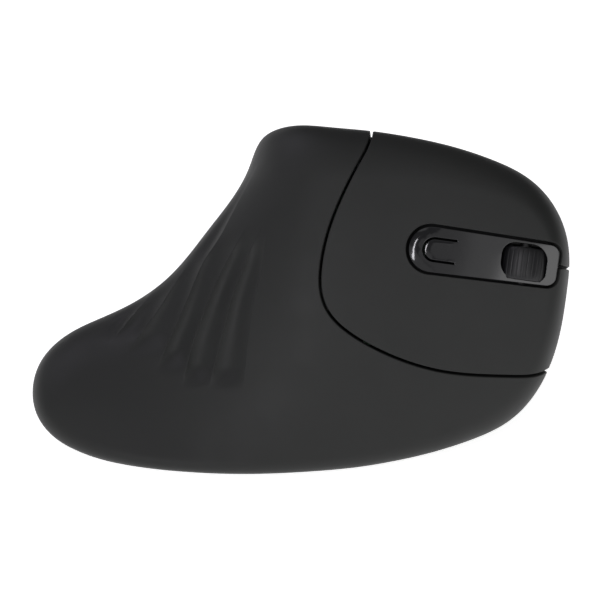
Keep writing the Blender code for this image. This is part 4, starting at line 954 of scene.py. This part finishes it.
def material(name, colour, roughness, grain, bump, mottle=0.12, specular=0.5, metallic=0.0,
             transmission=0.0):
    """Moulded or painted surface: a fine grain in its bump and a faint unevenness in colour and gloss."""
    made = bpy.data.materials.new(name)
    made.use_nodes = True
    nodes, links = made.node_tree.nodes, made.node_tree.links
    shader = set_inputs(nodes["Principled BSDF"], Metallic=metallic, Transmission_Weight=transmission,
                        Specular_IOR_Level=specular)
    where = nodes.new("ShaderNodeTexCoord")
    broad = set_inputs(nodes.new("ShaderNodeTexNoise"), Scale=CLOUDS, Detail=5.0)
    fine = set_inputs(nodes.new("ShaderNodeTexNoise"), Scale=grain, Detail=2.0)
    for noise in (broad, fine):
        links.new(where.outputs["Object"], noise.inputs["Vector"])
    tint = nodes.new("ShaderNodeMix")
    tint.data_type = "RGBA"
    set_inputs(tint, A=(*(c * (1 - mottle) for c in colour), 1),
               B=(*(min(1.0, c * (1 + mottle)) for c in colour), 1))
    links.new(broad.outputs["Fac"], tint.inputs["Factor"])
    links.new(tint.outputs["Result"], shader.inputs["Base Color"])
    gloss = set_inputs(nodes.new("ShaderNodeMapRange"), From_Min=CLOUD_RANGE[0], From_Max=CLOUD_RANGE[1],
                       To_Min=roughness * (1 - GLOSS_SPREAD),
                       To_Max=min(1.0, roughness * (1 + GLOSS_SPREAD)))
    links.new(broad.outputs["Fac"], gloss.inputs["Value"])
    links.new(gloss.outputs["Result"], shader.inputs["Roughness"])
    relief = set_inputs(nodes.new("ShaderNodeBump"), Strength=1.0, Distance=bump)
    links.new(fine.outputs["Fac"], relief.inputs["Height"])
    links.new(relief.outputs["Normal"], shader.inputs["Normal"])
    return made


MATERIALS = {row[0]: material(*row) for row in (
    ("soft_touch_black", (0.0128, 0.0134, 0.0129), 0.56, 5200, 1.2e-5, 0.12, 0.3),
    ("gloss_black", (0.006, 0.006, 0.0072), 0.1, 900, 1.5e-6, 0.05),
    ("wheel_rubber", (0.005, 0.005, 0.006), 0.4, 4200, 4e-6, 0.12, 0.35),
    ("black_abs", (0.014, 0.014, 0.0145), 0.46, 3200, 1e-5),
    ("grey_abs", (0.2, 0.2, 0.21), 0.5, 3200, 1e-5),
    ("white_abs", (0.72, 0.72, 0.69), 0.4, 3000, 6e-6),
    ("green_board", (0.018, 0.11, 0.045), 0.34, 1500, 1e-5, 0.2),
    ("chip_black", (0.004, 0.004, 0.0045), 0.6, 4000, 8e-6, 0.12, 0.2),
    ("clear_acrylic", (0.8, 0.84, 0.86), 0.07, 600, 1e-6, 0.02, 0.5, 0.0, 0.9),
    ("steel", (0.6, 0.6, 0.62), 0.28, 2500, 4e-6, 0.08, 0.5, 1.0),
    ("ptfe_glide", (0.05, 0.05, 0.055), 0.36, 1800, 4e-6),
    ("cell_wrap", (0.07, 0.15, 0.3), 0.32, 1200, 3e-6, 0.05),
)}


def visible_pieces():
    soft, gloss = MATERIALS["soft_touch_black"], MATERIALS["gloss_black"]
    body = skin("body_skin", soft, ["main_shell"])
    as_key = (ROLL, KEY_WALL, None, on_key_cut, on_slot, FINE_ROLL)
    upper = skin("upper_key_skin", soft, ["key_bridge", "left_button"], *as_key)
    lower = skin("lower_key_skin", soft, ["right_button"], *as_key)
    strip = skin("strip_skin", gloss, ["centre_strip"], FINE_ROLL, STRIP_WALL, strip_chart,
                 on_tongue_front, on_strip_rim, STRIP_ROLL)
    tongue = skin("tongue_skin", gloss, ["dpi_button"], TONGUE_ROLL, STRIP_WALL, tongue_chart,
                  on_tongue_front)
    panel = skin("panel_skin", soft, ["thumb_panel"], chart=grip_chart)
    back = skin("back_button_skin", gloss, ["back_button"], FINE_ROLL)
    forward = skin("forward_button_skin", gloss, ["forward_button"], FINE_ROLL)
    for piece, body_name, slot in ((body, "housing", "soft_touch_black"), (strip, "housing", "gloss_black"),
                                   (panel, "housing", "soft_touch_black"), (back, "back_key", "gloss_black"),
                                   (forward, "forward_key", "gloss_black")):
        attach(piece, body_name)
    for piece, body_name, s in ((upper, "left_key", BEND_S["upper"]), (lower, "right_key", BEND_S["lower"])):
        start, end = (skin_place(x, s) for x in KEY_BEND)
        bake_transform(piece)
    front, rear = on_strip(TONGUE_FRONT, 0), on_strip(TONGUE_FRONT - TONGUE_BEND, 0)
    skin_place(*front)
    skin_place(*rear)
    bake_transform(tongue)


def skin_place(x, s):
    """Point of the skin in the row frame, in metres."""
    return tuple((face_chart(np.array([(x, s)]))[0] - CENTRE) * MM)


def wheel():
    """Ribbed tyre, crowned across its width."""
    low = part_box("wheel_hub")
    middle = (Vector(low[0]) + Vector(low[1])) / 2
    axis, forward = to_world(*STRIP_ACROSS, 0), to_world(*STRIP_ALONG, 0)
    half = WHEEL_WIDTH / 2
    profile = [(radius, half - inset) for radius, inset in TYRE]
    profile += [(radius, inset - half) for radius, inset in reversed(TYRE)]
    turns = WHEEL_RIBS * RIB_STEPS
    bm = bmesh.new()
    rows = []
    centre = np.array(middle) / MM + CENTRE + axis * WHEEL_SHIFT
    for k in range(turns):
        a = 2 * math.pi * k / turns
        groove = RIB_DEPTH * max(0.0, math.cos(2 * math.pi * k / RIB_STEPS)) ** RIB_POWER
        out = forward * math.cos(a) + OUT_FACE * math.sin(a)
        row = []
        for radius, across in profile:
            share = min(1.0, max(0.0, (radius - RIB_FOOT[0]) / RIB_FOOT[1]))
            row.append(bm.verts.new(centre + out * (radius - groove * share) + axis * across))
        rows.append(row)
    for near, far in zip(rows, rows[1:] + rows[:1]):
        for j in range(len(profile)):
            i = (j + 1) % len(profile)
            bm.faces.new([near[j], far[j], far[i], near[i]])
    bmesh.ops.recalc_face_normals(bm, faces=bm.faces)
    tyre = to_mesh("ribbed_tyre", bm)
    tyre.data.materials.append(MATERIALS["wheel_rubber"])
    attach(tyre, "wheel")
    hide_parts("wheel_tyre")


def gap_shade_ledge():
    """Ledge of the strip's holder below the gap round the strip, made near-black to paint the shade of the
    deep gap.
    """
    shade_ledge = skin("strip_gap_shade_ledge", MATERIALS["chip_black"], [], FINE_ROLL, GAP_SHADE_WALL,
                 lambda points: face_chart(points, GAP_SHADE_SINK))
    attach(shade_ledge, "housing")


def carried_over():
    """Finish of every CAD piece that still shows, from its slot in the record."""
    slots = {piece["node"]: piece["material_slot"] for piece in frame["record"]["subparts"]}
    for name, obj in frame["nodes"].items():
        chosen = MATERIALS[slots[name]]
        if not obj.material_slots:
            obj.data.materials.append(chosen)
        for place in obj.material_slots:
            place.material = chosen


# -------- studio

def studio():
    scene = bpy.context.scene
    bpy.ops.mesh.primitive_plane_add(size=FLOOR_SIZE, location=(0, 0, 0))
    floor = bpy.context.object
    floor.name = "studio_floor"
    white = material("studio_floor", (0.86, 0.86, 0.86), 0.9, 300, 0.0, 0.005, specular=0.1)
    set_inputs(white.node_tree.nodes["Principled BSDF"], Emission_Color=(1, 1, 1, 1),
               Emission_Strength=FLOOR_GLOW)
    floor.data.materials.append(white)
    world = bpy.data.worlds.new("studio")
    world.use_nodes = True
    set_inputs(world.node_tree.nodes["Background"], Color=(1, 1, 1, 1), Strength=WORLD_LIGHT)
    scene.world = world
    for name, (side, rise), distance, size, power, colour in LIGHTS:
        side, rise = math.radians(side), math.radians(rise) + TILT
        flat = math.cos(rise)
        place = Vector((math.sin(side) * flat, -math.cos(side) * flat, math.sin(rise))) * distance
        lamp = bpy.data.lights.new(name, "AREA")
        lamp.shape = "RECTANGLE"
        lamp.size, lamp.size_y = size
        lamp.energy, lamp.color = power, colour
        obj = bpy.data.objects.new(name, lamp)
        obj.location = place
        obj.rotation_euler = (Vector(LAMP_AIM) - place).to_track_quat("-Z", "Y").to_euler()
        scene.collection.objects.link(obj)
    lens = bpy.data.cameras.new("camera")
    lens.lens, lens.sensor_width, lens.clip_start = LENS, SENSOR, CLIP_START
    camera = bpy.data.objects.new("camera", lens)
    back = Vector(OUT_FACE)
    target = Vector((to_world(*AIM) - CENTRE) * MM)
    camera.location = target + back * (VIEW_WIDTH * LENS / SENSOR)
    camera.rotation_mode = "QUATERNION"
    camera.rotation_quaternion = (-back).to_track_quat("-Z", "Y")
    scene.collection.objects.link(camera)
    scene.camera = camera
    scene.view_settings.view_transform = "Standard"


VIEW_WIDTH = 0.1307  # width that the camera takes in, in metres
AIM = (0.2, 37.8, 5.0)  # x, s, n of the point in the middle of the picture
LENS, SENSOR, CLIP_START = 250, 36, 0.05
LAMP_AIM = (0, 0, 0.035)
FLOOR_SIZE = 6.0
FLOOR_GLOW = 0.85
WORLD_LIGHT = 0.2
LIGHTS = [  # angle to the right of and above the camera's axis, distance, size, power, colour
    ("wide_panel", (11, -6), 1.5, (0.72, 1.0), 0.9, (1, 1, 1)),
    ("near_panel", (17, -6), 1.4, (0.62, 0.9), 0.75, (1, 1, 1)),
    ("strip_light", (19, -15), 1.2, (0.4, 0.5), 1.1, (1, 1, 1)),
    ("left_light", (-28, 0), 1.0, (0.07, 0.5), 2.1, (0.97, 0.95, 1)),
    ("key_light", (-34, -22), 1.4, (1.4, 1.2), 2.4, (1, 1, 1)),
    ("rear_light", (-118, 9), 1.0, (0.4, 0.4), 1.6, (0.9, 0.86, 1)),
    ("top_light", (-12, 44), 1.2, (0.8, 0.6), 0.9, (1, 1, 1)),
]

visible_pieces()
# near-black ledge that paints the shade in the gap round the strip
gap_shade_ledge()
wheel()
carried_over()
studio()
